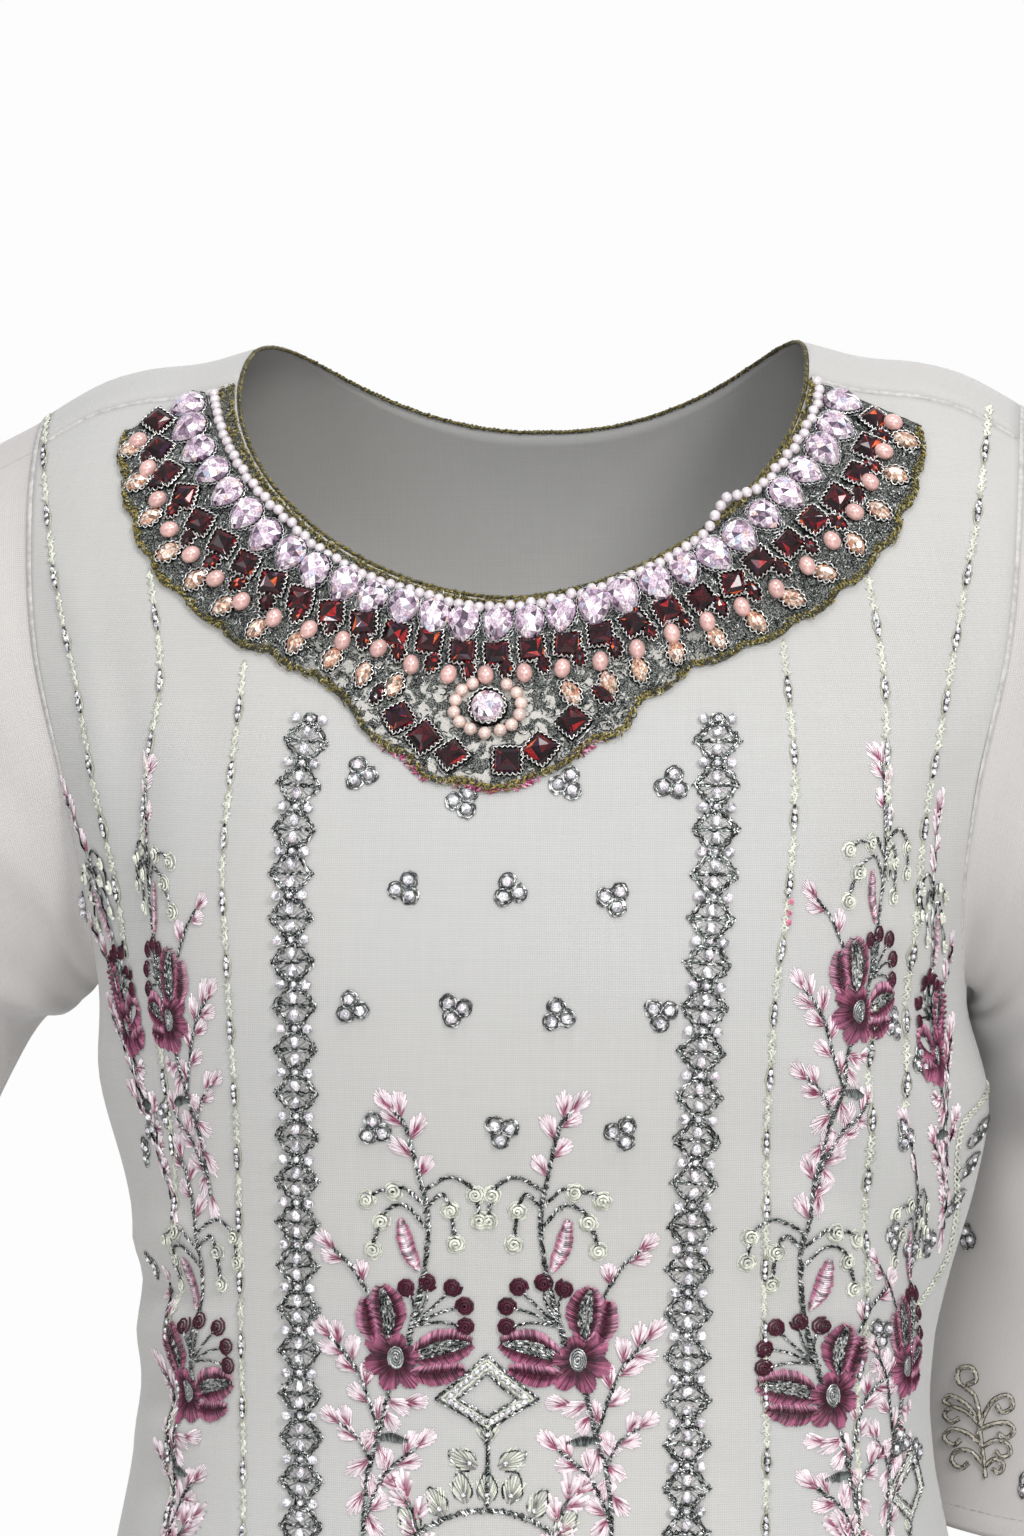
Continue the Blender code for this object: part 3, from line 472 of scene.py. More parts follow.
def top_edge(side, neck_columns, seam_columns):
    if side < 0:
        out, height = neck_front(np.radians(np.linspace(90.0, 0.0, neck_columns + 1)))
        share, level = front_at(out, height)
    else:
        share, level = neck_back(np.sin(np.radians(np.linspace(90.0, 0.0, neck_columns + 1))))
    seam = np.linspace(NECK_HALF_WIDTH, shoulder_tip(), seam_columns + 1)
    seam_share, seam_level = seam_place(seam, side)
    share = np.concatenate([share[:-1], seam_share])
    level = np.concatenate([level[:-1], seam_level])
    share[-1] = 1.0
    return share, level


def panel_places(side):
    """Shares and levels of a whole panel, rows from the hem up."""
    corner = NECK_COLUMN_SHARE[side]
    columns, upper_rows = PANEL_HALF_COLUMNS[side], PANEL_UPPER_ROWS[side]
    neck_columns = int(round(columns * corner))
    top_share, top_level = top_edge(side, neck_columns, columns - neck_columns)
    levels = np.linspace(HEM, UNDERARM, PANEL_LOWER_ROWS[side])
    dense = np.linspace(0.0, 1.0, 121)
    halves = []
    for hand in (-1, 1):
        lower = []
        for level in levels:
            arc = arc_along(form_point(hand * dense, level, side), 0)
            stops = np.linspace(0.0, corner, neck_columns + 1)[:-1]
            stops = np.concatenate([stops, np.linspace(corner, 1.0, columns - neck_columns + 1)])
            lower.append(np.interp(stops * arc[-1], arc, dense))
        lower = np.array(lower)
        rise = (np.arange(1, upper_rows + 1) / upper_rows)[:, None] ** 1.15
        halves.append(hand * np.vstack([lower, lower[-1] + (top_share - lower[-1]) * rise]))
    share = np.hstack([halves[0][:, :0:-1], halves[1]])
    lower = np.repeat(levels[:, None], len(top_level), axis=1)
    level = np.vstack([lower, UNDERARM + (top_level - UNDERARM) * rise])
    return share, np.hstack([level[:, :0:-1], level])


def build_panel(name, side):
    share, level = panel_places(side)
    outer, normal = kameez(share, level, side)
    outer[..., 1] = np.where(np.abs(outer[..., 1]) < SEAM / 2, side * SEAM / 2, outer[..., 1])
    across = arc_along(outer, 1)
    across = across - across[:, across.shape[1] // 2, None]
    grain = np.stack([across, level], axis=-1)
    return shell(name, outer, normal, grain, KAMEEZ)


ARMHOLE_ROWS = 46
ARMHOLE_BACK_EXTRA = 12


def armhole(rows=ARMHOLE_ROWS):
    """Armhole edge of the wearer's left side: up the front, over the ridge and down the back."""
    front_top = float(seam_place(np.array([shoulder_tip()]), -1)[1][0])
    back_top = float(seam_place(np.array([shoulder_tip()]), 1)[1][0])
    ease = (1.0 - np.cos(np.linspace(0.0, np.pi, rows))) / 2.0
    front = UNDERARM + (front_top - UNDERARM) * ease
    ease = (1.0 - np.cos(np.linspace(0.0, np.pi, rows + ARMHOLE_BACK_EXTRA))) / 2.0
    back = back_top + (UNDERARM - back_top) * ease[:-1]
    points = np.vstack([form_point(1.0, front, -1), form_point(1.0, back, 1)])
    normals = np.vstack([form_normal(1.0, front, -1), form_normal(1.0, back, 1)])
    points[0, 1] = 0.0
    return points, normals


def through_rings(rings, step):
    low = min(int(step), len(rings) - 3)
    part = step - low
    before, start, end = rings[low], rings[low + 1], rings[low + 2]
    after = rings[low + 3] if low + 3 < len(rings) else 2 * end - start
    rest = 1.0 - part
    first = (1 + 2 * part) * rest ** 2 * start + part * rest ** 2 * (end - before) / 2
    return first + part ** 2 * (3 - 2 * part) * end - part ** 2 * rest * (after - start) / 2


SleeveCrease = namedtuple("SleeveCrease", "step turn to_step to_turn width rise")
SLEEVE_CREASES = named_rows(SleeveCrease, (
    (0.4, -150, 3.2, -60, 0.24, 0.0032),
    (0.5, -120, 3.8, -35, 0.22, -0.0028),
    (0.3, -80, 2.6, -20, 0.26, 0.0020),
    (2.6, -175, 4.6, -95, 0.20, 0.0034),
    (3.2, 170, 5.2, -130, 0.20, -0.0034),
    (3.8, -165, 5.8, -80, 0.19, 0.0030),
    (4.6, -170, 6.4, -60, 0.20, -0.0026),
    (5.4, -150, 7.6, -40, 0.24, 0.0022),
    (0.4, 150, 3.2, 60, 0.26, 0.0030),
    (1.2, 120, 4.0, 30, 0.26, -0.0026),
    (3.0, 165, 5.0, 90, 0.22, 0.0028),
    (4.2, 150, 6.6, 50, 0.24, -0.0024),
    (5.8, 140, 8.6, 60, 0.26, 0.0020),
    (5.2, -20, 8.6, 20, 0.30, -0.0018),
    (1.4, 10, 4.8, -8, 0.34, 0.0016),
))
# Loose cloth under the bent arm, which hangs against the side of the body
UNDERARM_SLACK = SleeveCrease(0.6, 148, 5.0, 182, 0.42, 0.0114)
SLEEVE_ROWS = 74
SLEEVE_UNDER = 0.0008
SLEEVE_LEAD = 1.6
SLEEVE_HEM = 0.42


def sleeve_grid(table):
    loop, normals = armhole()
    low, top = loop[:, 2].min(), loop[:, 2].max()
    angle = np.arccos(np.clip(2.0 * (loop[:, 2] - low) / (top - low) - 1.0, -1.0, 1.0))
    angle = angle * np.where(loop[:, 1] < 0, -1.0, 1.0)
    tangent = unit(np.roll(loop, -1, axis=0) - np.roll(loop, 1, axis=0))
    leave = unit(np.cross(tangent, normals))
    start = loop - SLEEVE_UNDER * normals - SLEEVE_UNDER * leave
    rings = []
    for ring in table:
        inner = np.array([ring.inner_out, ring.back, ring.inner_height])
        outer = np.array([ring.outer_out, ring.back, ring.outer_height])
        points = (inner + outer) / 2 + np.cos(angle)[:, None] * (outer - inner) / 2
        points[:, 1] += ring.half_depth * np.sin(angle)
        rings.append(points)
    reach = np.linalg.norm(rings[0] - start, axis=1, keepdims=True)
    rings = [rings[0] - SLEEVE_LEAD * reach * leave, start] + rings
    steps = np.linspace(0.0, len(rings) - 2.0, SLEEVE_ROWS)
    points = np.array([through_rings(rings, step) for step in steps])
    return points, steps, angle


def sleeve_crease_rise(step, turn, creases):
    total = np.zeros(step.shape)
    for crease in creases:
        part = (step - crease.step) / (crease.to_step - crease.step)
        sweep = (crease.to_turn - crease.turn + 180.0) % 360.0 - 180.0
        middle = crease.turn + sweep * np.clip(part, -0.2, 1.2)
        gap = (np.degrees(turn) - middle + 180.0) % 360.0 - 180.0
        taper = smooth_step((part + 0.1) / 0.4) * smooth_step((1.1 - part) / 0.4)
        total += crease.rise * taper * np.exp(-0.5 * (np.radians(gap) / crease.width) ** 2)
    return total


def build_sleeve(name, table, hand, creases):
    points, steps, angle = sleeve_grid(table)
    normal = grid_normals(points, True)
    step, turn = np.meshgrid(steps, angle, indexing="ij")
    rise = sleeve_crease_rise(step, turn, creases)
    hem = len(table) - SLEEVE_HEM
    rise = rise * smooth_step((len(table) - step) / 0.8 + 0.3) + HEM_RISE * smooth_step((step - hem) / 0.02)
    points = points + normal * rise[..., None]
    grain = np.stack([arc_along(points, 1), arc_along(points, 0)], axis=-1)
    flip = np.array([hand, 1.0, 1.0])
    points, normal = points * flip, normal * flip
    return shell(name, points, normal, grain, SLEEVE_WEAVE_LIGHTENED, around=True), points, normal


def leg_surface(heights, columns):
    way = np.linspace(0.0, 1.0, columns + 1)
    rings = []
    for height in heights:
        value = {name: float(curve(LEG, name, height)) for name in Leg._fields}
        hip_turn = np.pi * way
        hip_depth = np.where(np.cos(hip_turn) > 0, value["hip_front"], value["hip_back"])
        hip = np.stack([value["hip_width"] * np.sin(hip_turn), -hip_depth * np.cos(hip_turn)], axis=-1)
        slit = LEG_SLIT / (2 * np.pi * value["half_depth"])
        turn = 2 * np.pi * (slit + (1.0 - 2.0 * slit) * way)
        tube_out = value["out"] - value["half_width"] * np.cos(turn)
        tube = np.stack([tube_out, value["deep"] - value["half_depth"] * np.sin(turn)], axis=-1)
        middle = np.array([value["out"] * LEG_MIDDLE, value["deep"]])
        flat = hip + (tube - hip) * value["joined"]
        pleat = value["pleat"] * np.sin(2 * np.pi * PLEATS * way) * np.sin(np.pi * way) ** 0.5
        sag = 0.0016 * np.sin(2 * np.pi * (3.0 * way + 1.7 * height)) * np.sin(np.pi * way)
        sag = sag * smooth_step((LEG[-1].height - height) / 0.2)
        flat = flat + unit(flat - middle) * (pleat + sag)[:, None]
        flat[:, 0] = np.maximum(flat[:, 0], CENTRE_GAP)
        rings.append(np.column_stack([flat, np.full(len(way), height)]))
    return np.array(rings)


def build_leg(name, hand):
    heights = np.linspace(CUFF_TOP, LEG[-1].height, LEG_ROWS)
    outer = leg_surface(heights, LEG_COLUMNS)
    normal = grid_normals(outer, False)
    grain = np.stack([arc_along(outer, 1), np.repeat(heights[:, None], outer.shape[1], axis=1)], axis=-1)
    flip = np.array([hand, 1.0, 1.0])
    return shell(name, outer * flip, normal * flip, grain, SALWAR)


def build_ring(name, around, heights, relief):
    """Band round a closed outline. around(share) gives its points and relief(share, way) lifts the cloth."""
    shares = np.linspace(0.0, 1.0, len(heights))
    rings = []
    for share, height in zip(shares, heights):
        out, deep = around(share)
        rings.append(np.stack([out, deep, np.full(len(out), height)], axis=-1))
    outer = np.array(rings)
    normal = grid_normals(outer, True)
    way = np.linspace(0, 1, outer.shape[1], endpoint=False)[None]
    outer = outer + normal * relief(shares[:, None], way)[..., None]
    rise = np.repeat((heights - heights[0])[:, None], outer.shape[1], axis=1)
    grain = np.stack([arc_along(outer, 1), rise], axis=-1)
    return shell(name, outer, normal, grain, SALWAR, around=True, thick=BAND_THICK)


# Materials

WAVE_PERIOD = 0.314
WEFT_PITCH = 1.12
SLUB_STRETCH = 0.06


class Nodes:
    """The nodes of a new material or world. They feed the sockets of its last node."""

    def __init__(self, owner, last="Principled BSDF"):
        owner.use_nodes = True
        self.owner = owner
        self.nodes, self.links = owner.node_tree.nodes, owner.node_tree.links
        self.last = self.nodes[last]

    def put(self, socket, value):
        """Sets a socket to a number or a colour, or joins another node's output to it."""
        if isinstance(value, (int, float, tuple)):
            socket.default_value = value
        else:
            self.links.new(value, socket)

    def set(self, sockets):
        for name, value in sockets.items():
            self.put(self.last.inputs[name], value)

    def node(self, kind, sockets=None, **settings):
        made = self.nodes.new("ShaderNode" + kind)
        for name, value in settings.items():
            setattr(made, name, value)
        for name, value in (sockets or {}).items():
            self.put(made.inputs[name], value)
        return made

    def place(self):
        return self.node("TexCoord").outputs["Object"]

    def noise(self, vector, scale, detail=2.0):
        sockets = {"Scale": scale, "Detail": detail, "Roughness": 0.5, "Vector": vector}
        return self.node("TexNoise", sockets).outputs["Fac"]

    def bands(self, vector, pitch, direction):
        sockets = {"Scale": WAVE_PERIOD / pitch, "Distortion": 0.9, "Detail": 2.0, "Detail Scale": 0.6}
        made = self.node("TexWave", sockets, wave_type="BANDS", bands_direction=direction, wave_profile="SIN")
        self.put(made.inputs["Vector"], vector)
        return made.outputs["Fac"]

    def stretched(self, vector, scale):
        return self.node("Mapping", {"Scale": scale, "Vector": vector}).outputs["Vector"]

    def ramp(self, value, low, high, dark, light):
        """Colours from dark at low to light at high. A single number is a grey."""
        made = self.node("ValToRGB", {"Fac": value})
        first, last = made.color_ramp.elements
        first.position, last.position = low, high
        for stop, color in ((first, dark), (last, light)):
            stop.color = (*((color,) * 3 if isinstance(color, float) else color), 1.0)
        return made.outputs["Color"]

    def mix(self, way, factor, first, second):
        sockets = {"Factor": factor, "A": first, "B": second}
        return self.node("Mix", sockets, data_type="RGBA", blend_type=way).outputs["Result"]

    def math(self, operation, first, second):
        made = self.node("Math", operation=operation)
        for socket, value in zip(made.inputs, (first, second)):
            self.put(socket, value)
        return made.outputs["Value"]

    def tint(self):
        return self.node("Attribute", attribute_name="tint").outputs["Color"]

    def tinted(self, value, low, high, dark, light):
        """The piece's own tints times a shade."""
        shade = self.ramp(value, low, high, dark, light)
        return self.mix("MULTIPLY", 1.0, self.tint(), shade)

    def bump(self, height, strength, distance):
        made = self.node("Bump", {"Strength": strength, "Distance": distance, "Height": height})
        self.set({"Normal": made.outputs["Normal"]})


def new_material(name):
    return Nodes(bpy.data.materials.new(name))


def weave_material(name, dark, light, pitch=0.0008):
    """Fine plain weave: two crossed sets of slightly uneven threads, with slubs and soft shading."""
    made = new_material(name)
    grain = made.node("UVMap", uv_map="grain").outputs["UV"]
    place = made.place()
    warp = made.bands(grain, pitch, "X")
    weft = made.bands(grain, pitch * WEFT_PITCH, "Y")
    slub_up = made.noise(made.stretched(grain, (1.0, SLUB_STRETCH, 1.0)), 620.0)
    slub_over = made.noise(made.stretched(grain, (SLUB_STRETCH, 1.0, 1.0)), 560.0)
    cross = made.math("MULTIPLY", warp, weft)
    threads = made.math("SUBTRACT", made.math("ADD", warp, weft), cross)
    slubs = made.math("MULTIPLY", made.math("ADD", slub_up, slub_over), 0.5)
    height = made.math("ADD", made.math("MULTIPLY", threads, 0.5), made.math("MULTIPLY", slubs, 0.26))
    tone = made.ramp(height, 0.30, 0.82, dark, light)
    shade = made.ramp(made.noise(place, 5.0, 3.0), 0.3, 0.7, (0.93, 0.945, 0.965), (1.0, 0.995, 0.985))
    made.set({
        "Base Color": made.mix("MULTIPLY", 1.0, tone, shade),
        "Roughness": made.ramp(slubs, 0.35, 0.65, 0.86, 0.68),
        "Sheen Weight": 0.25,
        "Sheen Roughness": 0.45,
        "Specular IOR Level": 0.25,
    })
    made.bump(height, 0.35, 0.0003)
    return made.owner


def thread_material(name, roughness, sheen, metallic=0.0, painted_glint_level=0.0):
    """Embroidery thread: its own tint, fine twist, and painted glints where it is metal: bright flecks added
    to its base colour.
    """
    made = new_material(name)
    place = made.place()
    fine = made.noise(place, 2600.0)
    color = made.tinted(made.noise(place, 420.0), 0.3, 0.7, 0.78, 1.12)
    # Painted glints: bright flecks of fine noise added to the base colour.
    if painted_glint_level:
        color = made.mix("ADD", 1.0, color, made.ramp(fine, 0.60, 0.70, 0.0, painted_glint_level))
    made.set({
        "Base Color": color,
        "Roughness": made.ramp(fine, 0.35, 0.65, roughness * 0.7, roughness * 1.35),
        "Metallic": metallic,
        "Sheen Weight": sheen,
        "Specular IOR Level": 0.30,
    })
    made.bump(fine, 0.5, 0.0002)
    return made.owner


def stone_material(name, metallic, roughness=0.06, polish=1.0):
    """Foiled stone: facets of many tones, painted glints and painted shade among them, with painted sparkle
    from fine noise, under a clear polish.
    """
    made = new_material(name)
    painted_sparkle_grit = made.noise(made.place(), 1500.0, 1.0)
    made.set({
        # Base colour: facet tints times fine noise whose bright flecks are painted sparkle.
        "Base Color": made.tinted(painted_sparkle_grit, 0.40, 0.60, 0.66, 1.30),
        "Roughness": made.ramp(painted_sparkle_grit, 0.3, 0.7, roughness, roughness * 2.0),
        "Metallic": metallic,
        "Coat Weight": polish,
        "Specular IOR Level": 0.5 * polish,
        "Coat Roughness": 0.03,
        "Coat IOR": 1.6,
        "IOR": 1.65,
    })
    return made.owner


def pearl_material(name):
    made = new_material(name)
    cloud = made.noise(made.place(), 260.0, 3.0)
    made.set({
        "Base Color": made.tinted(cloud, 0.3, 0.7, (0.88, 0.84, 0.84), (1.06, 1.04, 1.02)),
        "Roughness": made.ramp(cloud, 0.3, 0.7, 0.20, 0.30),
        "Metallic": 0.28,
        "Coat Weight": 1.0,
        "Coat Roughness": 0.06,
        "Coat IOR": 1.7,
    })
    made.bump(cloud, 0.1, 0.0002)
    return made.owner


def metal_material(name):
    made = new_material(name)
    tarnish = made.noise(made.place(), 700.0, 3.0)
    made.set({
        "Base Color": made.tinted(tarnish, 0.35, 0.65, 0.45, 1.15),
        "Roughness": made.ramp(tarnish, 0.3, 0.7, 0.448, 0.196),
        "Metallic": 1.0,
    })
    made.bump(tarnish, 0.3, 0.0003)
    return made.owner


# Camera, floor and lights

CAMERA_TURN = np.radians(6.0)
CAMERA_REACH = 1.72
CAMERA_RIGHT = -0.0077
CAMERA_HEIGHT = -0.1637
LENS = 104.2
SENSOR = 36.0
NEAREST = 0.05
FLOOR = -1.3615
FLOOR_REACH = 4.0
ROOM_LIGHT = 0.98
CHEST = (0.0, 0.0, -0.2)
INSIDE_NECK = (0.0, 0.08, -0.08)
WHITE = (1.0, 1.0, 1.0)
Light = namedtuple("Light", "name place aim size energy color")
LIGHTS = (
    Light("key", (1.3, -1.9, 1.0), CHEST, 0.7, 28.0, (1.0, 0.99, 0.97)),
    Light("fill", (-1.2, -2.0, 0.8), CHEST, 1.0, 5.5, (0.95, 0.98, 1.0)),
    Light("front", (0.15, -2.2, 0.30), CHEST, 0.8, 6.0, WHITE),
    Light("back", (0.6, 2.2, 1.2), CHEST, 1.6, 12.0, WHITE),
    Light("low", (0.2, -2.0, -0.9), CHEST, 1.0, 4.0, WHITE),
    Light("above", (0.0, -0.9, 1.3), INSIDE_NECK, 0.5, 7.0, WHITE),
)


def add_camera():
    right = np.array([np.cos(CAMERA_TURN), np.sin(CAMERA_TURN), 0.0])
    ahead = np.array([-np.sin(CAMERA_TURN), np.cos(CAMERA_TURN), 0.0])
    data = bpy.data.cameras.new("camera")
    data.lens = LENS
    data.sensor_width = SENSOR
    data.clip_start = NEAREST
    camera = bpy.data.objects.new("camera", data)
    bpy.context.scene.collection.objects.link(camera)
    level = np.array([0.0, 0.0, CAMERA_HEIGHT])
    camera.location = Vector(right * CAMERA_RIGHT - ahead * CAMERA_REACH + level)
    camera.rotation_euler = (np.pi / 2, 0.0, CAMERA_TURN)
    bpy.context.scene.camera = camera


def add_light(light):
    data = bpy.data.lights.new(light.name, "AREA")
    data.shape = "DISK"
    data.size = light.size
    data.energy = light.energy
    data.color = light.color
    lamp = bpy.data.objects.new(light.name, data)
    bpy.context.scene.collection.objects.link(lamp)
    lamp.location = Vector(light.place)
    lamp.rotation_euler = (Vector(light.aim) - Vector(light.place)).to_track_quat("-Z", "Y").to_euler()


def add_floor():
    paper = new_material("floor_paper")
    grain = paper.noise(paper.place(), 40.0, 3.0)
    paper.set({
        "Base Color": paper.ramp(grain, 0.3, 0.7, (0.83, 0.83, 0.82), (0.87, 0.87, 0.86)),
        "Roughness": 0.85,
    })
    corners = [(x * FLOOR_REACH, y * FLOOR_REACH, FLOOR) for x, y in ((-1, -1), (1, -1), (1, 1), (-1, 1))]
    mesh = make_mesh("floor", corners, [0, 1, 2, 3], [4])
    floor = bpy.data.objects.new("floor", mesh)
    mesh.materials.append(paper.owner)
    bpy.context.scene.collection.objects.link(floor)


def add_room():
    """White behind the object; for light and gloss, a studio that is bright above and dimmer below."""
    world = Nodes(bpy.data.worlds.new("studio"), "Background")
    height = world.node("SeparateXYZ", {"Vector": world.node("TexCoord").outputs["Generated"]})
    upward = world.math("ADD", world.math("MULTIPLY", height.outputs["Z"], 0.5), 0.5)
    room = world.ramp(upward, 0.34, 0.66, (0.38, 0.38, 0.39), (0.72, 0.72, 0.73))
    seen = world.node("LightPath").outputs["Is Camera Ray"]
    world.set({"Color": world.mix("MIX", seen, room, (*WHITE, 1.0)), "Strength": ROOM_LIGHT})
    bpy.context.scene.world = world.owner


add_camera()
add_floor()
add_room()
bpy.context.scene.view_settings.view_transform = "Standard"
for light in LIGHTS:
    add_light(light)


# Making many small pieces at once

class Work:
    """Points, faces and tints of one piece, gathered from many small shapes."""

    def __init__(self, cloth=None):
        self.cloth = cloth or on_front
        self.points, self.loops, self.sizes, self.tints, self.count = [], [], [], [], 0
        self.laid, self.strung = {}, []

    def add(self, points, faces, tint, per="piece"):
        points = np.asarray(points, float).reshape(-1, 3)
        corners = faces.ravel()
        tint = np.asarray(tint, float).reshape(-1, 3)
        if per == "point":
            tint = tint[corners]
        elif per == "face":
            tint = np.repeat(tint, faces.shape[1], axis=0)
        else:
            tint = np.repeat(tint, len(corners), axis=0)
        self.points.append(points)
        self.loops.append(corners + self.count)
        self.sizes.append(np.full(len(faces), faces.shape[1]))
        self.tints.append(tint)
        self.count += len(points)

    def lay(self, x, z, lift, radius, tint):
        """Threads seen flat, to be laid on the front together with all others of as many steps."""
        shape = x.shape
        flat = [x, z] + [np.broadcast_to(np.asarray(value, float), shape) for value in (lift, radius)]
        tint = np.broadcast_to(np.asarray(tint, float), (*shape, 3))
        self.laid.setdefault(shape[1], []).append((*flat, tint))

    def string(self, x, z, radius, tall):
        self.strung.append((x, z, np.full(len(x), radius), np.full(len(x), tall)))

    def settle(self):
        for parts in self.laid.values():
            x, z, lift, radius, tint = (np.concatenate(part) for part in zip(*parts))
            tubes(self, *self.cloth(x, z, lift), radius, tint)
        if self.strung:
            x, z, radius, tall = (np.concatenate(part) for part in zip(*self.strung))
            point, normal = self.cloth(x, z, radius * 0.75)
            up = unit(np.array([0.0, 0.0, 1.0]) - normal * normal[:, 2:])
            axes = np.stack([np.cross(up, normal), up, normal], axis=1)
            axes = turned(axes, rng.normal(0.0, 0.3, len(x)), rng.normal(0.0, 0.2, (len(x), 2)))
            scales = np.stack([radius, radius * tall, radius * 0.9], axis=-1)
            template = ball(1)
            # Facet tints of the beads hold painted highlights and painted shade.
            tints = facet_tints(len(x), len(template[1]), CLEAR)
            stamp(self, template, point, axes, scales, tints, "face")
        self.laid, self.strung = {}, []

    def build(self, name, material, slot, smooth=True):
        self.settle()
        parts = [np.concatenate(part) for part in (self.points, self.loops, self.sizes)]
        mesh = make_mesh(name, *parts, smooth)
        put_tint(mesh, np.concatenate(self.tints))
        return link(name, mesh, material)


def put_tint(mesh, tint):
    """Stores a colour for each corner of a mesh."""
    layer = mesh.color_attributes.new("tint", "FLOAT_COLOR", "CORNER")
    layer.data.foreach_set("color", np.column_stack([tint, np.ones(len(tint))]).astype(np.float32).ravel())


def on_front(x, z, lift):
    return kameez(*front_at(x, z), -1, lift)


def on_tube(points, normals):
    """The same for a tube of cloth, such as a sleeve: a place is found straight behind (x, z)."""
    tree = BVHTree.FromPolygons(points.reshape(-1, 3).tolist(), grid_quads(*points.shape[:2], True).tolist())

    def find(x, z, lift):
        x, z, lift = np.broadcast_arrays(x, z, lift)
        place, facing = np.empty((x.size, 3)), np.empty((x.size, 3))
        for k, (out, height) in enumerate(zip(x.ravel(), z.ravel())):
            hit, normal, _, _ = tree.ray_cast(Vector((out, -1.0, height)), Vector((0.0, 1.0, 0.0)))
            if hit is None:
                hit, normal, _, _ = tree.find_nearest(Vector((out, 0.0, height)))
            place[k], facing[k] = hit, normal
        facing = facing * -np.sign(facing[:, 1:2])
        place, facing = place.reshape(*x.shape, 3), facing.reshape(*x.shape, 3)
        return place + facing * lift[..., None], facing
    return find


def paint(piece, shade):
    """Grey tints for the points of a piece that is built as a shell."""
    corners = np.empty(len(piece.data.loops), int)
    piece.data.loops.foreach_get("vertex_index", corners)
    put_tint(piece.data, np.repeat(shade[corners][:, None], 3, axis=1))


def stamp(work, template, origins, axes, scales, tints, per="piece"):
    """Copies a template to each origin, by each copy's x, y and z axes and its sizes along them."""
    points, faces = template
    scales = np.broadcast_to(np.asarray(scales, float), (len(origins), 3))
    placed = origins[:, None] + np.einsum("mki,mij->mkj", points[None] * scales[:, None], axes)
    shift = (np.arange(len(origins)) * len(points))[:, None, None]
    copies = (faces[None] + shift).reshape(-1, faces.shape[1])
    if per == "piece":
        tints = np.repeat(np.broadcast_to(tints, (len(origins), 3)), len(faces), axis=0)
        per = "face"
    work.add(placed, copies, tints, per)


TUBE_TUCK = 0.35


def tubes(work, paths, normals, radius, tint, sides=3, below=False, flat=1.0):
    """Threads or wires along paths (count, points, 3). Those that lie on cloth need no underside."""
    paths, normals = np.broadcast_arrays(paths, normals)
    count, steps = paths.shape[:2]
    along = unit(np.gradient(paths, axis=1))
    across = unit(np.cross(along, normals))
    up = np.cross(across, along)
    radius = np.broadcast_to(np.asarray(radius, float), (count, steps))[..., None, None]
    if below:
        span = np.linspace(0.0, 2 * np.pi, sides, endpoint=False)
    else:
        span = np.linspace(-TUBE_TUCK, np.pi + TUBE_TUCK, sides)
    ring = across[:, :, None] * np.cos(span)[:, None] + up[:, :, None] * np.sin(span)[:, None] * flat
    points = paths[:, :, None] + radius * ring
    index = np.arange(count * steps * sides).reshape(count, steps, sides)
    here, there = index[:, :-1], index[:, 1:]
    if below:
        here, there = (np.concatenate([part, part[..., :1]], -1) for part in (here, there))
    faces = np.stack([here[..., :-1], there[..., :-1], there[..., 1:], here[..., 1:]], axis=-1).reshape(-1, 4)
    tint = np.broadcast_to(np.asarray(tint, float), (count, steps, 3))
    work.add(points, faces[:, ::-1], np.repeat(tint.reshape(-1, 3), sides, axis=0), "point")


def ball(detail):
    data = bmesh.new()
    bmesh.ops.create_icosphere(data, subdivisions=detail, radius=1.0)
    points = np.array([v.co for v in data.verts])
    faces = np.array([[v.index for v in f.verts] for f in data.faces])
    data.free()
    return points, faces


def pear(turn):
    width = 0.5 * np.sin(turn) * np.abs(np.sin(turn / 2)) ** 0.55 * 1.12
    return np.stack([width, 0.5 * np.cos(turn)], axis=-1)


def cushion(turn):
    return 0.5 * np.stack([power(np.sin(turn), 0.18), power(np.cos(turn), 0.18)], axis=-1)


def marquise(turn):
    return 0.5 * np.stack([power(np.sin(turn), 1.5), np.cos(turn)], axis=-1)


def oval(turn):
    return 0.5 * np.stack([np.sin(turn), np.cos(turn)], axis=-1)


FACETS = 16
STONE_TABLE = 0.50


def stone(outline):
    """Faceted stone one unit across each way: facets as separate triangles, lowest ring first."""
    turn = np.linspace(0.0, 2 * np.pi, FACETS, endpoint=False)
    half = np.pi / FACETS
    centre = outline(turn).mean(axis=0)

    def ring(at, scale, height):
        flat = centre + (outline(at) - centre) * scale
        return np.column_stack([flat, np.full(len(at), height)])

    foot, girdle = ring(turn, 0.80, 0.0), ring(turn, 1.0, 0.32)
    crown = ring(turn + half, 0.84, 0.66)
    top = ring(turn[::2] + half, STONE_TABLE, 0.96)
    peak = np.array([*centre, 1.0])
    facets = []
    for k in range(FACETS):
        n = (k + 1) % FACETS
        facets += [(foot[k], girdle[n], girdle[k]), (foot[k], foot[n], girdle[n])]
        facets += [(girdle[k], girdle[n], crown[k]), (crown[k], girdle[n], crown[n])]
        j = k // 2
        if k % 2 == 0:
            facets += [(crown[k], crown[n], top[j]), (crown[k - 1], crown[k], top[j])]
        else:
            facets.append((top[j], crown[k], top[(j + 1) % len(top)]))
    for j in range(len(top)):
        facets.append((top[j], peak, top[(j + 1) % len(top)]))
    facets = np.array(facets)
    cross = np.cross(facets[:, 1] - facets[:, 0], facets[:, 2] - facets[:, 0])
    wrong = np.sum(cross * (facets.mean(axis=1) - np.array([*centre, 0.3])), axis=1) < 0
    facets[wrong] = facets[wrong][:, ::-1]
    return facets.reshape(-1, 3), np.arange(len(facets) * 3).reshape(-1, 3)


def facet_tints(count, facets, palette):
    weights = np.array(palette.shares) / np.sum(palette.shares)
    chosen = rng.choice(len(weights), size=(count, facets), p=weights)
    return palette.tints[chosen] * rng.uniform(0.88, 1.12, (count, facets, 1))


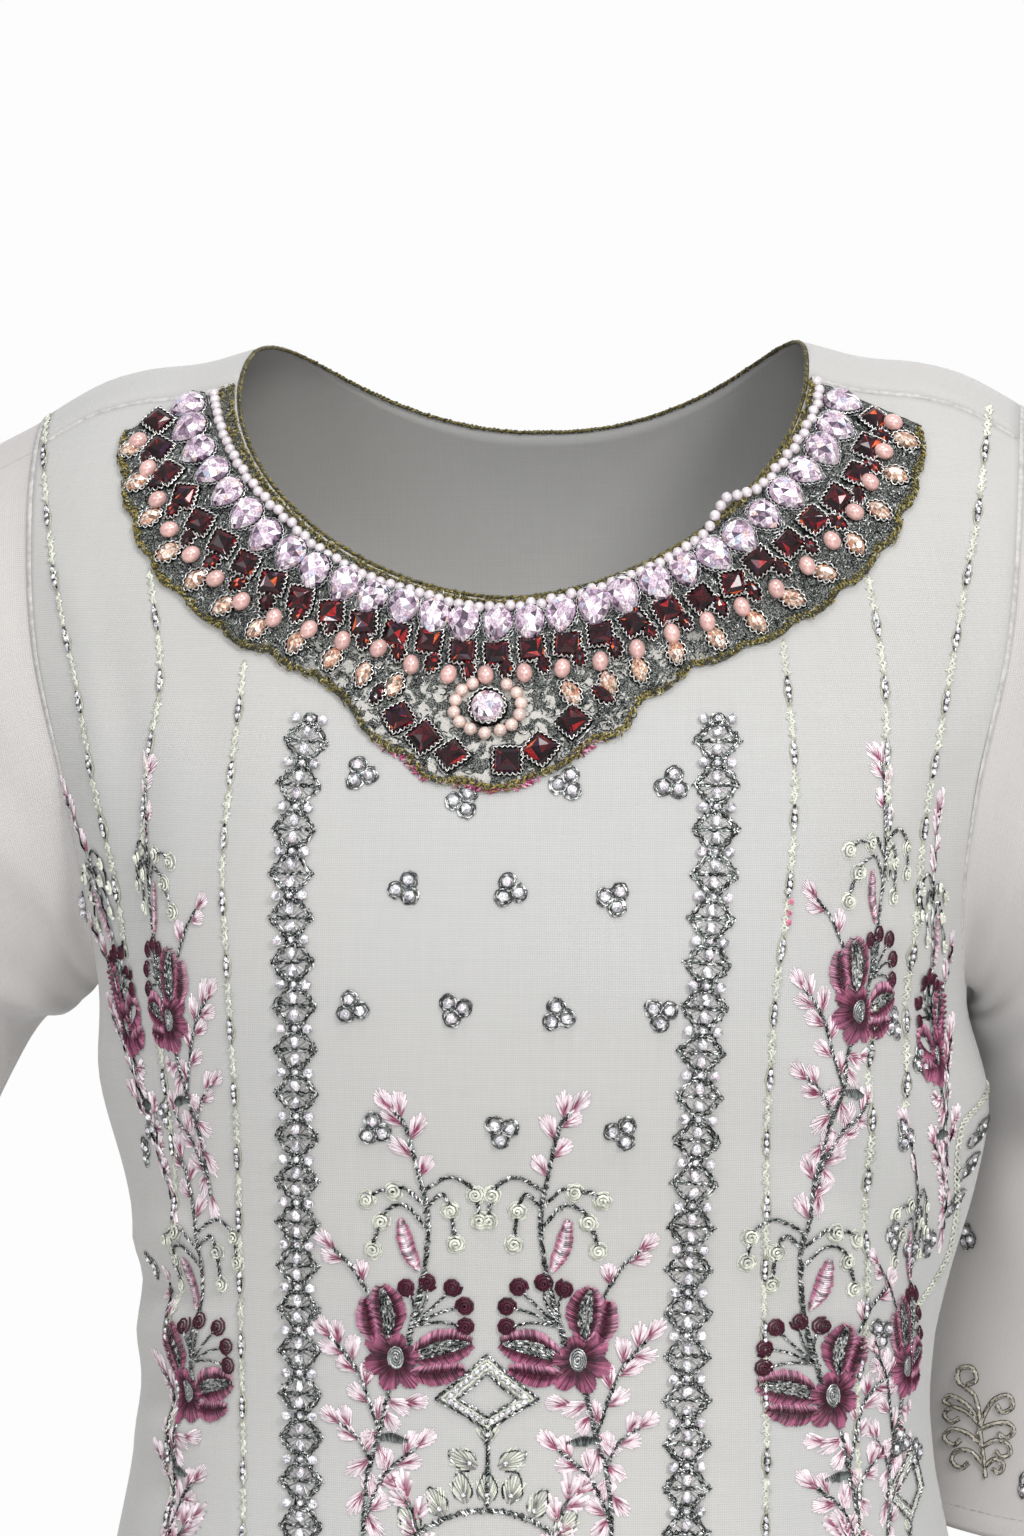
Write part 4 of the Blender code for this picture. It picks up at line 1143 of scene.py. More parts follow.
def turned(axes, spin, tilt):
    """Axes spun in their own plane and tilted a little, so that hand-set pieces don't line up."""
    x, y, z = axes[:, 0], axes[:, 1], axes[:, 2]
    cos, sin = np.cos(spin)[:, None], np.sin(spin)[:, None]
    x, y = x * cos + y * sin, y * cos - x * sin
    lean = unit(z + x * tilt[:, :1] + y * tilt[:, 1:])
    y = unit(y - lean * np.sum(y * lean, axis=1, keepdims=True))
    return np.stack([np.cross(y, lean), y, lean], axis=1)


# Places round the neckline: along it from the centre, and out from its edge

PATCH_COLUMNS = 260
PATCH_ROWS = 18
PATCH_START = 0.0010
PATCH_LIFT = 0.0011
PATCH_THICK = 0.0005
PATCH_CURLS = 4400
CURL_STEPS = 6
PATCH_END_TILT = 0.40
PATCH_END_TURN = np.radians(40.0)
PATCH_END = np.radians(1.2)
CRYSTAL_OUT = 0.0105
SCALLOPS = 21
SCALLOP_DEPTH = 0.0022
NeckRow = namedtuple("NeckRow", "along pearl crystal square oval edge")
NECK_ROWS = named_rows(NeckRow, (
    (-0.172, 0.0085, 0.0192, 0.0328, 0.0402, 0.0466),
    (-0.160, 0.0074, 0.0187, 0.0333, 0.0402, 0.0493),
    (-0.140, 0.0059, 0.0164, 0.0306, 0.0388, 0.0515),
    (-0.120, 0.0047, 0.0140, 0.0290, 0.0396, 0.0535),
    (-0.100, 0.0037, 0.0133, 0.0266, 0.0375, 0.0516),
    (-0.085, 0.0043, 0.0118, 0.0252, 0.0362, 0.0505),
    (-0.070, 0.0042, 0.0112, 0.0222, 0.0322, 0.0470),
    (-0.055, 0.0040, 0.0102, 0.0208, 0.0297, 0.0472),
    (-0.046, 0.0034, 0.0096, 0.0198, 0.0289, 0.0490),
    (-0.0415, 0.0030, 0.0094, 0.0200, 0.0291, 0.0545),
    (-0.035, 0.0026, 0.0092, 0.0203, 0.0294, 0.0582),
    (-0.026, 0.0032, 0.0097, 0.0210, 0.0300, 0.0625),
    (-0.016, 0.0034, 0.0104, 0.0214, 0.0301, 0.0680),
    (0.000, 0.0028, 0.0092, 0.0200, 0.0292, 0.0690),
    (0.010, 0.0022, 0.0086, 0.0195, 0.0288, 0.0660),
    (0.020, 0.0018, 0.0080, 0.0188, 0.0284, 0.0590),
    (0.033, 0.0016, 0.0076, 0.0184, 0.0280, 0.0540),
    (0.038, 0.0016, 0.0075, 0.0183, 0.0278, 0.0482),
    (0.044, 0.0016, 0.0074, 0.0182, 0.0276, 0.0465),
    (0.055, 0.0018, 0.0076, 0.0186, 0.0278, 0.0430),
    (0.066, 0.0018, 0.0084, 0.0204, 0.0298, 0.0440),
    (0.080, 0.0018, 0.0100, 0.0220, 0.0322, 0.0468),
    (0.095, 0.0020, 0.0102, 0.0224, 0.0335, 0.0495),
    (0.110, 0.0026, 0.0112, 0.0252, 0.0354, 0.0512),
    (0.125, 0.0027, 0.0118, 0.0266, 0.0356, 0.0526),
    (0.145, 0.0040, 0.0140, 0.0290, 0.0362, 0.0518),
    (0.160, 0.0046, 0.0150, 0.0284, 0.0356, 0.0505),
    (0.172, 0.0030, 0.0146, 0.0276, 0.0354, 0.0460),
))


def neck_place(turn, out):
    step = 1e-4
    x, z = neck_front(turn)
    next_x, next_z = neck_front(turn + step)
    last_x, last_z = neck_front(turn - step)
    along = unit(np.stack([next_x - last_x, next_z - last_z], axis=-1))
    away = np.stack([-along[..., 1], along[..., 0]], axis=-1)
    away[..., 1] -= PATCH_END_TILT * smooth_step(1.0 - turn / PATCH_END_TURN)
    away = unit(away)
    return front_at(x + out * away[..., 0], z + out * away[..., 1])


NECK_TURNS = np.linspace(np.pi / 2 - 2e-4, PATCH_END, 500)
NECK_ARC = arc_along(form_point(*neck_place(NECK_TURNS, np.full(500, CRYSTAL_OUT)), -1), 0)
PATCH_HALF = NECK_ARC[-1]


def collar(along, out, lift=0.0):
    """Point and normal on the front, along the neckline and out from it."""
    along, out = np.broadcast_arrays(np.asarray(along, float), np.asarray(out, float))
    share, level = neck_place(np.interp(np.abs(along), NECK_ARC, NECK_TURNS), out)
    return kameez(share * np.sign(along + 1e-12), level, -1, lift)


def collar_axes(along, out):
    """Point and axes there: x back along the neckline, y out from it, z off the cloth."""
    step = 2e-4
    point, normal = collar(along, out)
    outward = collar(along, out + step)[0] - collar(along, out - step)[0]
    outward = unit(outward - normal * np.sum(outward * normal, axis=-1, keepdims=True))
    return point, np.stack([np.cross(outward, normal), outward, normal], axis=-2)


def patch_width(along):
    lobes = np.abs(np.sin(np.pi * (np.abs(along) / PATCH_HALF * SCALLOPS / 2.0 + 0.5)))
    return curve(NECK_ROWS, "edge", along) + SCALLOP_DEPTH * (lobes - 0.6)


def row_stops(row, count, low, high):
    """Evenly spaced places along a row."""
    dense = np.linspace(low, high, 401)
    arc = arc_along(collar(dense, curve(NECK_ROWS, row, dense))[0], 0)
    return np.interp(np.linspace(0.0, arc[-1], count), arc, dense)


def ring_paths(axes, origins, outline, size, scale, lift, steps, wave=0, swing=0.0, loops=False):
    """Closed wires round stones, on an outline, that may weave in and out or run in small loops."""
    dense = outline(np.linspace(0.0, 2 * np.pi, 721))
    arc = arc_along(dense, 0)
    turn = np.linspace(0.0, 2 * np.pi, steps)
    flat = along_path(turn / (2 * np.pi) * arc[-1], arc, dense)
    middle = flat[:-1].mean(axis=0)
    flat = middle + (flat - middle) * scale
    weave = swing * (np.abs(np.sin(turn * wave)) if loops else np.cos(turn * wave))
    local = np.zeros((len(origins), steps, 3))
    local[..., :2] = flat[None] * size[:, None, :2]
    local[..., :2] += unit(flat)[None] * weave[None, :, None]
    local[..., 2] = lift - (0.8 if loops else -0.6) * weave[None]
    path = origins[:, None] + np.einsum("mki,mij->mkj", local, axes)
    return path, np.repeat(axes[:, None, 2], steps, axis=1)


def srgb(red, green, blue):
    value = np.array([red, green, blue]) / 255.0
    return np.where(value <= 0.04045, value / 12.92, ((value + 0.055) / 1.055) ** 2.4)


def shades(*colors):
    return np.array([srgb(*color) for color in colors])


# Facet tints of the stones: their own tones, with painted glints and painted reflections in the near-white
# and fiery tints, and painted shade in the darkest.
Palette = namedtuple("Palette", "tints shares")
LILAC = Palette(
    shades((234, 216, 228), (210, 188, 206), (188, 164, 186), (144, 118, 142), (78, 62, 82), (255, 252, 254),
           (240, 206, 202), (198, 204, 228)),
    (3.2, 3.6, 3.0, 2.2, 2.2, 3.4, 0.6, 0.7))
WINE = Palette(
    shades((36, 7, 14), (54, 10, 18), (80, 15, 26), (20, 5, 10), (164, 34, 36), (228, 104, 56), (54, 24, 52),
           (226, 214, 220)),
    (5.0, 4.0, 2.0, 6.0, 1.0, 0.45, 0.8, 0.10))
PEACH = Palette(
    shades((224, 188, 164), (196, 150, 122), (238, 216, 200), (146, 108, 88), (206, 132, 100),
           (252, 242, 234), (112, 96, 84)),
    (3.0, 3.0, 2.2, 2.0, 1.4, 1.6, 1.2))
# Facet tints of the clear beads: glass tones, with painted highlights in the near-white tints and painted
# shade in the darkest.
CLEAR = Palette(
    shades((222, 220, 226), (192, 190, 198), (142, 140, 148), (250, 250, 252), (224, 208, 218)),
    (3.0, 3.0, 2.0, 3.4, 1.0))
# Tints of metal thread: near-black painted shade up to white painted glints.
PAINTED_GLINT_PALETTE = Palette(
    shades((16, 18, 18), (52, 56, 54), (104, 110, 108), (172, 178, 175), (248, 250, 248)),
    (0.34, 0.25, 0.16, 0.12, 0.13))
TARNISH = srgb(98, 98, 94) * 0.10
OLIVE = srgb(116, 104, 48)
OLIVE_DARK = srgb(62, 60, 40)
IVORY_PEARL = srgb(221, 215, 220)
ROSE_PEARL = srgb(226, 182, 176)
PENDANT_PEARL = srgb(232, 208, 198)

CRYSTALS = 29
OVAL_PEARLS = 28
OUTER_STONES = 27
PENDANT_PEARLS = 13
STRUNG_PEARLS = 86
BALL = ball(2)
STONE_LIFT = 0.0012
CRYSTAL_SIZE = (0.0122, 0.0146, 0.0056)
SQUARE_SIZE = (0.0090, 0.0088, 0.0038)
LOW_SQUARE_SIZE = (0.0096, 0.0094, 0.0040)
PENDANT_SIZE = (0.0128, 0.0130, 0.0064)
WINE_LEAF_SIZE = (0.0048, 0.0084, 0.0028)
LOW_LEAF_SIZE = (0.0050, 0.0090, 0.0030)
PEACH_LEAF_SIZE = (0.0062, 0.0098, 0.0034)
OVAL_PEARL_SIZE = (0.0031, 0.0039, 0.0031)
PATCH_END_STOP = 0.995


def painted_glints(*shape, dull=1.0):
    """Painted glints and painted shade of metal thread: tints that flash bright and go dark from one twist to
    the next.
    """
    return PAINTED_GLINT_PALETTE.tints[rng.choice(len(PAINTED_GLINT_PALETTE.shares), size=shape, p=PAINTED_GLINT_PALETTE.shares)] * dull


def halo(work, axes, origin, outline, size, scales, lift=0.0002):
    """Frayed rings of metal thread round stones or pearls."""
    for scale in scales:
        path, normal = ring_paths(axes, origin, outline, size, scale, lift, 34)
        path = path + rng.normal(0.0, 0.00022, path.shape)
        path[:, -1] = path[:, 0]
        tubes(work, path, normal, 0.00034, painted_glints(len(origin), 34, dull=0.68))


def set_stones(stones, mounts, outline, along, out, size, palette, claws, spin, lean=0.08, turn_by=0.0):
    """A row of stones, each in a cup with so many claws or, with none, with a rim of small loops."""
    settings, rims = mounts
    count = len(along)
    point, axes = collar_axes(along, out)
    axes = turned(axes, turn_by + rng.normal(0.0, spin, count), rng.normal(0.0, lean, (count, 2)))
    origin = point + axes[:, 2] * STONE_LIFT
    size = np.array(size) * rng.uniform(0.96, 1.05, (count, 1))
    template = stone(outline)
    # The facet tints from the palette hold painted glints, painted reflections and painted shade.
    stamp(stones, template, origin, axes, size, facet_tints(count, len(template[1]), palette), "face")
    tall = size[0, 2]
    if claws:
        cup, cup_wire = (1.10, tall * 0.14, 25), 0.00075
        loops, loop_wire = (1.00, tall * 0.55, claws * 4 + 1, claws / 2.0, 0.00095), 0.00025
        frayed, bright = ((1.32,), 0.0008), (0.80, 0.80, 0.78)
    else:
        cup, cup_wire = (1.04, tall * 0.12, 17), 0.00060
        loops, loop_wire = (1.02, tall * 0.26, 105, 13, 0.00050), 0.00024
        frayed, bright = ((1.13, 1.20, 1.10), 0.0013), (0.50, 0.50, 0.50)
    tubes(settings, *ring_paths(axes, origin, outline, size, *cup), cup_wire, TARNISH, sides=4, below=True)
    tubes(settings, *ring_paths(axes, origin, outline, size, *loops, loops=True), loop_wire, bright)
    halo(rims, axes, point, outline, size, *frayed)


def pearls_at(work, origins, axes, scales, tint):
    tone = rng.uniform(0.90, 1.07, (len(origins), 1))
    stamp(work, BALL, origins, axes, scales, np.clip(tint * tone, 0, 1))


def twisted(work, point, normal, strand, offset, period, tints, step_arc, fray):
    """Cord of two strands wound round each other along one path of points."""
    along = unit(np.gradient(point, axis=0))
    across = np.cross(along, normal)
    for k, tint in enumerate(tints):
        turn = 2 * np.pi * (step_arc / period + k / len(tints))
        path = point + across * (offset * np.cos(turn))[:, None] + normal * (offset * np.sin(turn))[:, None]
        path = path + across * rng.normal(0.0, fray, (len(point), 1))
        tone = 1.0 + 0.35 * rng.normal(0.0, 1.0, (len(point), 1))
        tint = np.clip(tint * tone, 0.0, 1.0)
        tubes(work, path[None], normal[None], strand, tint[None], sides=4, below=True)


def even_path(place, start, end, spacing):
    """Evenly spaced samples of a path given by place(parameter)."""
    dense = np.linspace(start, end, 600)
    arc = arc_along(place(dense), 0)
    count = max(int(arc[-1] / spacing), 4)
    stops = np.linspace(0.0, arc[-1], count)
    return np.interp(stops, arc, dense), stops


ZARI = thread_material("zari_thread", roughness=0.30, metallic=0.85, painted_glint_level=0.55, sheen=0.0)
OLIVE_CORD = thread_material("olive_cord", roughness=0.40, metallic=0.45, painted_glint_level=0.30, sheen=0.1)
CRYSTAL = stone_material("foiled_crystal", 0.30)
RED_STONE = stone_material("foiled_red_stone", 0.25, polish=0.34)
PEACH_STONE = stone_material("foiled_peach_stone", 0.40)
PEARL = pearl_material("pearl_lustre")
METAL = metal_material("antique_silver")
SATIN = thread_material("satin_thread", roughness=0.42, sheen=0.0)


def net_material():
    """Ground of the patch: dense looped metal thread under the stones, as fine speckle with painted glints,
    and pale net between it lower down.
    """
    made = new_material("patch_ground")
    place = made.place()
    fine = made.noise(place, 2300.0, 1.0)
    broad = made.noise(place, 230.0, 3.0)
    cloth = made.ramp(fine, 0.3, 0.7, srgb(176, 173, 168), srgb(208, 206, 200))
    # Fine speckle from near-black to grey for the looped metal thread; the pale flecks are painted glints.
    thread = made.ramp(fine, 0.44, 0.62, srgb(18, 20, 18), srgb(132, 136, 132))
    open_net = made.math("MULTIPLY", made.tint(), made.ramp(broad, 0.47, 0.51, 1.0, 0.0))
    made.set({
        "Base Color": made.mix("MIX", open_net, thread, cloth),
        "Roughness": made.ramp(fine, 0.3, 0.7, 0.75, 0.35),
        "Specular IOR Level": 0.3,
    })
    made.bump(fine, 0.8, 0.0006)
    return made.owner


def circled(centre, reach, turn):
    """A place's two numbers, swung round it by turn at a distance of reach."""
    first, second = centre
    return first[:, None] + reach * np.cos(turn), second[:, None] + reach * np.sin(turn)


def loose_loops(work, along, out, reach):
    """Small curls of metal thread at places on the patch."""
    count = len(along)
    start = rng.uniform(0, 2 * np.pi, count)
    sweep_angle = rng.uniform(1.4, 4.8, count) * rng.choice([-1, 1], count)
    turn = start[:, None] + sweep_angle[:, None] * np.linspace(0, 1, CURL_STEPS)
    rise = PATCH_LIFT + 0.0006 * rng.uniform(0, 1, (count, 1)) + 0.0002 * np.sin(turn * 3)
    point, normal = collar(*circled((along, out), reach[:, None], turn), rise)
    tubes(work, point, normal, 0.00026, painted_glints(count, CURL_STEPS, dull=0.72))


def build_patch_ground():
    steps = np.linspace(-PATCH_HALF, PATCH_HALF, PATCH_COLUMNS)
    shares = np.linspace(0.0, 1.0, PATCH_ROWS)
    out = PATCH_START + (patch_width(steps)[None] - PATCH_START) * shares[:, None]
    along = np.repeat(steps[None], PATCH_ROWS, axis=0)
    ripple = 0.0003 * np.sin(steps[None] * 900.0 + 5.0 * shares[:, None]) * np.sin(out * 1300.0)
    point, normal = collar(along, out, PATCH_LIFT + ripple)
    grain = np.stack([along, out], axis=-1)
    net = net_material()
    ground = shell("neck_patch_ground", point, normal, grain, net, thick=PATCH_THICK)
    foot = smooth_step((out - curve(NECK_ROWS, "oval", along) + 0.001) / 0.004)
    foot = foot * smooth_step((0.085 - np.abs(along)) / 0.05)
    paint(ground, np.tile(foot.ravel(), 2))
    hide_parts("neck_patch")


def row_out(name, stops, spread=0.0):
    """How far out a row runs, with a little scatter."""
    return curve(NECK_ROWS, name, stops) + rng.normal(0.0, spread, len(stops))


Jewels = namedtuple("Jewels", "crystals wine peach settings rims pearls")


def set_rows(jewels):
    """Rows of crystals, red squares, oval pearls and marquise stones, from the neck edge out."""
    mounts = (jewels.settings, jewels.rims)
    stops = row_stops("crystal", CRYSTALS, -0.1700, 0.1655)
    out = row_out("crystal", stops, 0.0003) + 0.0006
    set_stones(jewels.crystals, mounts, pear, stops, out, CRYSTAL_SIZE, LILAC, 0, spin=0.16, lean=0.10)
    stops = row_stops("square", CRYSTALS, -0.1695, 0.1655)
    out = row_out("square", stops, 0.0005)
    turn = 0.35 * smooth_step((-0.02 - stops) / 0.03)
    set_stones(jewels.wine, mounts, cushion, stops, out, SQUARE_SIZE, WINE, 20, spin=0.14, turn_by=turn)
    stops = row_stops("oval", OVAL_PEARLS, -0.1645, 0.1670)
    point, axes = collar_axes(stops, row_out("oval", stops, 0.0005))
    axes = turned(axes, rng.normal(0.0, 0.25, OVAL_PEARLS), rng.normal(0.0, 0.05, (OVAL_PEARLS, 2)))
    pearls_at(jewels.pearls, point + axes[:, 2] * 0.0036, axes, OVAL_PEARL_SIZE, ROSE_PEARL)
    size = np.tile((0.0064, 0.0080, 0.0060), (OVAL_PEARLS, 1))
    halo(jewels.rims, axes, point + axes[:, 2] * 0.0006, oval, size, (1.12,))
    between = (stops[1:] + stops[:-1]) / 2
    out = 0.45 * row_out("square", between) + 0.55 * row_out("oval", between, 0.0007)
    set_stones(jewels.wine, mounts, marquise, between, out + 0.0004, WINE_LEAF_SIZE, WINE, 12, spin=0.25)
    outer = row_stops("edge", OUTER_STONES, -0.1640, 0.1640)
    outer = outer[(outer < -0.028) | (outer > 0.019)]
    inner = row_out("oval", outer)
    out = 0.5 * inner + 0.5 * np.minimum(row_out("oval", outer) + 0.0192, patch_width(outer) - 0.0012)
    set_stones(jewels.peach, mounts, marquise, outer, out - 0.0006, PEACH_LEAF_SIZE, PEACH, 12, spin=0.30)


def set_low_stones(jewels):
    """Stones in the foot of the patch, and the pendant: a round crystal in a ring of pearls."""
    mounts = (jewels.settings, jewels.rims)
    stops, out = np.array([(-0.0370, 0.0430), (0.0290, 0.0405)]).T
    set_stones(jewels.wine, mounts, marquise, stops, out, LOW_LEAF_SIZE, WINE, 12, spin=0.4)
    stops, out, turn = np.array([
        (-0.0290, 0.0492, 0.80), (-0.0205, 0.0540, 0.74), (-0.0120, 0.0590, 0.70),
        (0.0012, 0.0596, 0.05), (0.0095, 0.0565, 0.78), (0.0190, 0.0482, 0.70),
    ]).T
    set_stones(jewels.wine, mounts, cushion, stops, out, LOW_SQUARE_SIZE, WINE, 20, spin=0.06, turn_by=turn)
    middle, centre = np.array([-0.0042]), np.array([0.0404])
    set_stones(jewels.crystals, mounts, oval, middle, centre, PENDANT_SIZE, LILAC, 18, spin=0.0, lean=0.0)
    point, axes = collar_axes(middle, centre)
    turn = np.radians(np.linspace(30.0, 330.0, PENDANT_PEARLS))
    height = np.full(PENDANT_PEARLS, 0.0026)
    offset = np.stack([0.0124 * np.sin(turn), -0.0103 * np.cos(turn), height], axis=-1)
    offset[:, :2] += rng.normal(0.0, 0.00015, (PENDANT_PEARLS, 2))
    axes = np.repeat(axes, PENDANT_PEARLS, axis=0)
    pearls_at(jewels.pearls, point + offset @ axes[0], axes, (0.0025,) * 3, PENDANT_PEARL)


def string_pearls(pearls):
    """Strung pearls along the neck edge, one length of them hanging loose."""
    stops = row_stops("pearl", STRUNG_PEARLS, -0.1700, 0.1700)
    loose = np.exp(-0.5 * ((stops - 0.098) / 0.0070) ** 2)
    zigzag = 0.00050 * (-1.0) ** np.arange(STRUNG_PEARLS) * (0.5 + 0.5 * np.sin(stops * 52.0 + 0.6))
    out = row_out("pearl", stops, 0.00012) + 0.0003 + zigzag - 0.0052 * loose
    point, axes = collar_axes(stops, out)
    lift = (0.0020 + 0.0030 * loose)[:, None]
    pearls_at(pearls, point + axes[:, 2] * lift, axes, (0.00210,) * 3, IVORY_PEARL)


def fill_patch(rims):
    """Curls of metal thread between the stones, thickest above and round the foot of each row."""
    along = rng.uniform(-PATCH_HALF * 0.985, PATCH_HALF * 0.985, PATCH_CURLS)
    start = curve(NECK_ROWS, "crystal", along) + 0.004
    out = start + (patch_width(along) - 0.0030 - start) * rng.uniform(0.0, 1.0, PATCH_CURLS) ** 0.9
    open_net = np.sin(along * 330.0 + 3.0 * np.sin(out * 260.0))
    open_net = open_net * np.sin(out * 480.0 + 2.0 * np.sin(along * 190.0))
    kept = (open_net > -0.25) | (np.abs(along) > 0.095)
    reach = rng.uniform(0.0005, 0.0016, kept.sum())
    loose_loops(rims, along[kept], out[kept], reach)


def build_patch_cords():
    """Cord along the outer edge, a thinner one inside the pearls, and frayed ends about both."""
    cords = Work()
    end = PATCH_HALF * PATCH_END_STOP
    stops, arc = even_path(lambda a: collar(a, patch_width(a) - 0.0008)[0], -end, end, 0.00070)
    wander = 0.0004 * np.sin(arc * 410.0) + 0.0003 * np.sin(arc * 1130.0)
    point, normal = collar(stops, patch_width(stops) - 0.0010 + wander, 0.0019)
    bright = (np.sin(arc * 95.0) + np.sin(arc * 31.0) > 0.0)[:, None]
    gold = np.where(bright, OLIVE * 1.7, OLIVE_DARK * 1.3)
    twisted(cords, point, normal, 0.00042, 0.00042, 0.0028, (gold, OLIVE_DARK * 0.7), arc, 0.00020)
    stops, arc = even_path(lambda a: collar(a, np.full(a.shape, 0.0010))[0], -end, end, 0.00065)
    point, normal = collar(stops, 0.0008 + 0.0003 * np.sin(arc * 600.0), 0.0011)
    twisted(cords, point, normal, 0.00022, 0.00024, 0.0022, (OLIVE * 1.5, OLIVE), arc, 0.00020)
    fuzz = 2300
    along = rng.uniform(-end, end, fuzz)
    outer_edge = rng.uniform(0, 1, fuzz) < 0.62
    outside = patch_width(along) - 0.0012 + rng.normal(0.0, 0.0005, fuzz)
    inside = 0.0006 + (curve(NECK_ROWS, "pearl", along) - 0.0020) * rng.uniform(0.0, 1.0, fuzz)
    out = np.where(outer_edge, outside, inside)
    start = rng.uniform(0, 2 * np.pi, fuzz)[:, None]
    turn = start + rng.uniform(1.0, 3.4, fuzz)[:, None] * np.linspace(0, 1, 5)
    reach = rng.uniform(0.0005, 0.0013, fuzz)[:, None]
    point, normal = collar(*circled((along, out), reach, turn), 0.0019 + 0.0007 * np.cos(turn * 2))
    tones = np.array([OLIVE * 2.0, OLIVE * 1.3, OLIVE_DARK, OLIVE_DARK * 0.4, srgb(206, 206, 180)])
    tint = tones[rng.choice(5, (fuzz, 5), p=[0.26, 0.26, 0.22, 0.18, 0.08])]
    tubes(cords, point, normal, 0.00024, np.clip(tint, 0, 1))
    cords.build("neck_patch_cords", OLIVE_CORD, "zari")


SilkTuft = namedtuple("SilkTuft", "along spread count")
SILK_TUFTS = (
    SilkTuft(-0.0230, 0.0032, 60),
    SilkTuft(-0.0055, 0.0036, 70),
    SilkTuft(0.0050, 0.0022, 36),
    SilkTuft(0.0215, 0.0022, 36),
)
SILK = shades((150, 42, 84), (196, 110, 146), (110, 26, 60), (222, 170, 190))


def build_silk_ends():
    """Ends of coloured thread that show under the cord at the foot of the patch."""
    silk = Work()
    t = np.linspace(0.0, 1.0, 4)[None]
    for tuft in SILK_TUFTS:
        count = tuft.count
        along = rng.normal(tuft.along, tuft.spread, count)
        start = rng.normal(0.0, 0.9, count)[:, None]
        turn = start + rng.normal(0.0, 0.9, count)[:, None] * t
        reach = t * rng.uniform(0.0010, 0.0028, count)[:, None]
        out = patch_width(along)[:, None] - 0.0010 + reach * np.cos(turn)
        along = along[:, None] + t * 0.0026 * np.sin(turn)
        point, normal = collar(along, out, 0.0007 + 0.0006 * np.sin(np.pi * t))
        tubes(silk, point, normal, 0.00032, SILK[rng.integers(0, len(SILK), count)][:, None])
    silk.build("neck_patch_thread", SATIN, "thread")


def build_neck_patch():
    """The patch's ground, the rows of stones and pearls, the metal thread between, and its cords."""
    build_patch_ground()
    jewels = Jewels(*(Work() for _ in Jewels._fields))
    set_rows(jewels)
    set_low_stones(jewels)
    string_pearls(jewels.pearls)
    fill_patch(jewels.rims)
    build_patch_cords()
    build_silk_ends()
    jewels.crystals.build("neck_crystals", CRYSTAL, "crystal", smooth=False)
    jewels.wine.build("neck_red_stones", RED_STONE, "red_stone", smooth=False)
    jewels.peach.build("neck_peach_stones", PEACH_STONE, "peach_stone", smooth=False)
    jewels.settings.build("neck_settings", METAL, "setting")
    jewels.rims.build("neck_metal_thread", ZARI, "zari")
    jewels.pearls.build("neck_pearls", PEARL, "pearl")


def build_piping():
    """Corded piping all round the neck edge."""
    turn = np.radians(np.linspace(90.0, 0.0, 260))
    share, level = front_at(*neck_front(turn))
    back_share, back_level = neck_back(np.sin(np.radians(np.linspace(0.0, 90.0, 200)[1:])))
    halves = []
    for hand in (1, -1):
        front_point, front_normal = kameez(hand * share, level, -1)
        back_point, back_normal = kameez(hand * back_share, back_level, 1)
        halves.append((np.vstack([front_point, back_point]), np.vstack([front_normal, back_normal])))
    point = np.vstack([halves[0][0], halves[1][0][-2:0:-1]])
    normal = np.vstack([halves[0][1], halves[1][1][-2:0:-1]])
    closed = np.vstack([point, point[:1]])
    arc = arc_along(closed, 0)
    stops = np.linspace(0.0, arc[-1], 820)
    point = along_path(stops, arc, closed)
    normal = unit(along_path(stops, arc, np.vstack([normal, normal[:1]])))
    along = unit(np.gradient(point, axis=0))
    inward = np.cross(normal, along)
    inward = inward * np.sign(np.sum(inward * (point.mean(axis=0) - point)))
    path = point + inward * 0.0010 - normal * 0.0006
    work = Work()
    twisted(work, path, normal, 0.00058, 0.00042, 0.0036, (OLIVE_DARK * 1.6, OLIVE * 0.9), stops, 0.00016)
    piping = work.build("neck_piping", OLIVE_CORD, "piping")
    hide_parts("neck_binding")


# Embroidery on the front: each motif is drawn flat in mm and laid on the cloth

MM = 1e-3
TWIG_SPREAD = 0.62
MAROON = srgb(78, 18, 44)
BERRY = MAROON * 0.8
MAUVE = srgb(172, 100, 130)
MAUVE_PALE = srgb(196, 138, 162)
LEAF_BASE = srgb(150, 72, 102)
LEAF_TIP = srgb(246, 232, 238)
CREAM = srgb(226, 228, 214)
CREAM_DARK = srgb(176, 176, 160)
NET_TINT = srgb(170, 168, 168)
EYE_TINT = srgb(168, 170, 170) * 0.6
CUP_DARK = srgb(50, 54, 54)
CUP_LIGHT = srgb(120, 128, 126)
CROWN_LEAF = srgb(132, 130, 128)
# The stitches of motifs and borders below this height are fewer and thicker
FINE_ABOVE = -0.47
BEAD = stone_material("clear_bead_glass", 0.15, 0.10)


def polar(reach, turn):
    """Places at a distance from a centre and an angle round it."""
    return np.stack([reach * np.cos(turn), reach * np.sin(turn)], axis=-1)


def swung(x, y, along, across, heading):
    """Places given along and across a heading, from (x, y)."""
    cos, sin = np.cos(heading), np.sin(heading)
    return np.stack([x + along * cos - across * sin, y + along * sin + across * cos], axis=-1)


def directions(path):
    """Unit directions along a flat path and square to it."""
    along = unit(np.gradient(path, axis=0))
    return along, np.stack([-along[:, 1], along[:, 0]], axis=-1)


def path_length(stops):
    return np.linalg.norm(np.diff(stops, axis=0), axis=1).sum()


def sweep(stops, steps):
    """Smooth path through a few stops."""
    stops = np.array(stops, float)
    slopes = np.gradient(stops, axis=0) if len(stops) > 2 else np.repeat(stops[1:] - stops[:1], 2, axis=0)
    at = np.linspace(0.0, len(stops) - 1.0, steps)
    low = np.clip(at.astype(int), 0, len(stops) - 2)
    part = (at - low)[:, None]
    rest = 1.0 - part
    start = (1.0 + 2.0 * part) * rest ** 2 * stops[low] + part * rest ** 2 * slopes[low]
    return start + part ** 2 * (3.0 - 2.0 * part) * stops[low + 1] - part ** 2 * rest * slopes[low + 1]


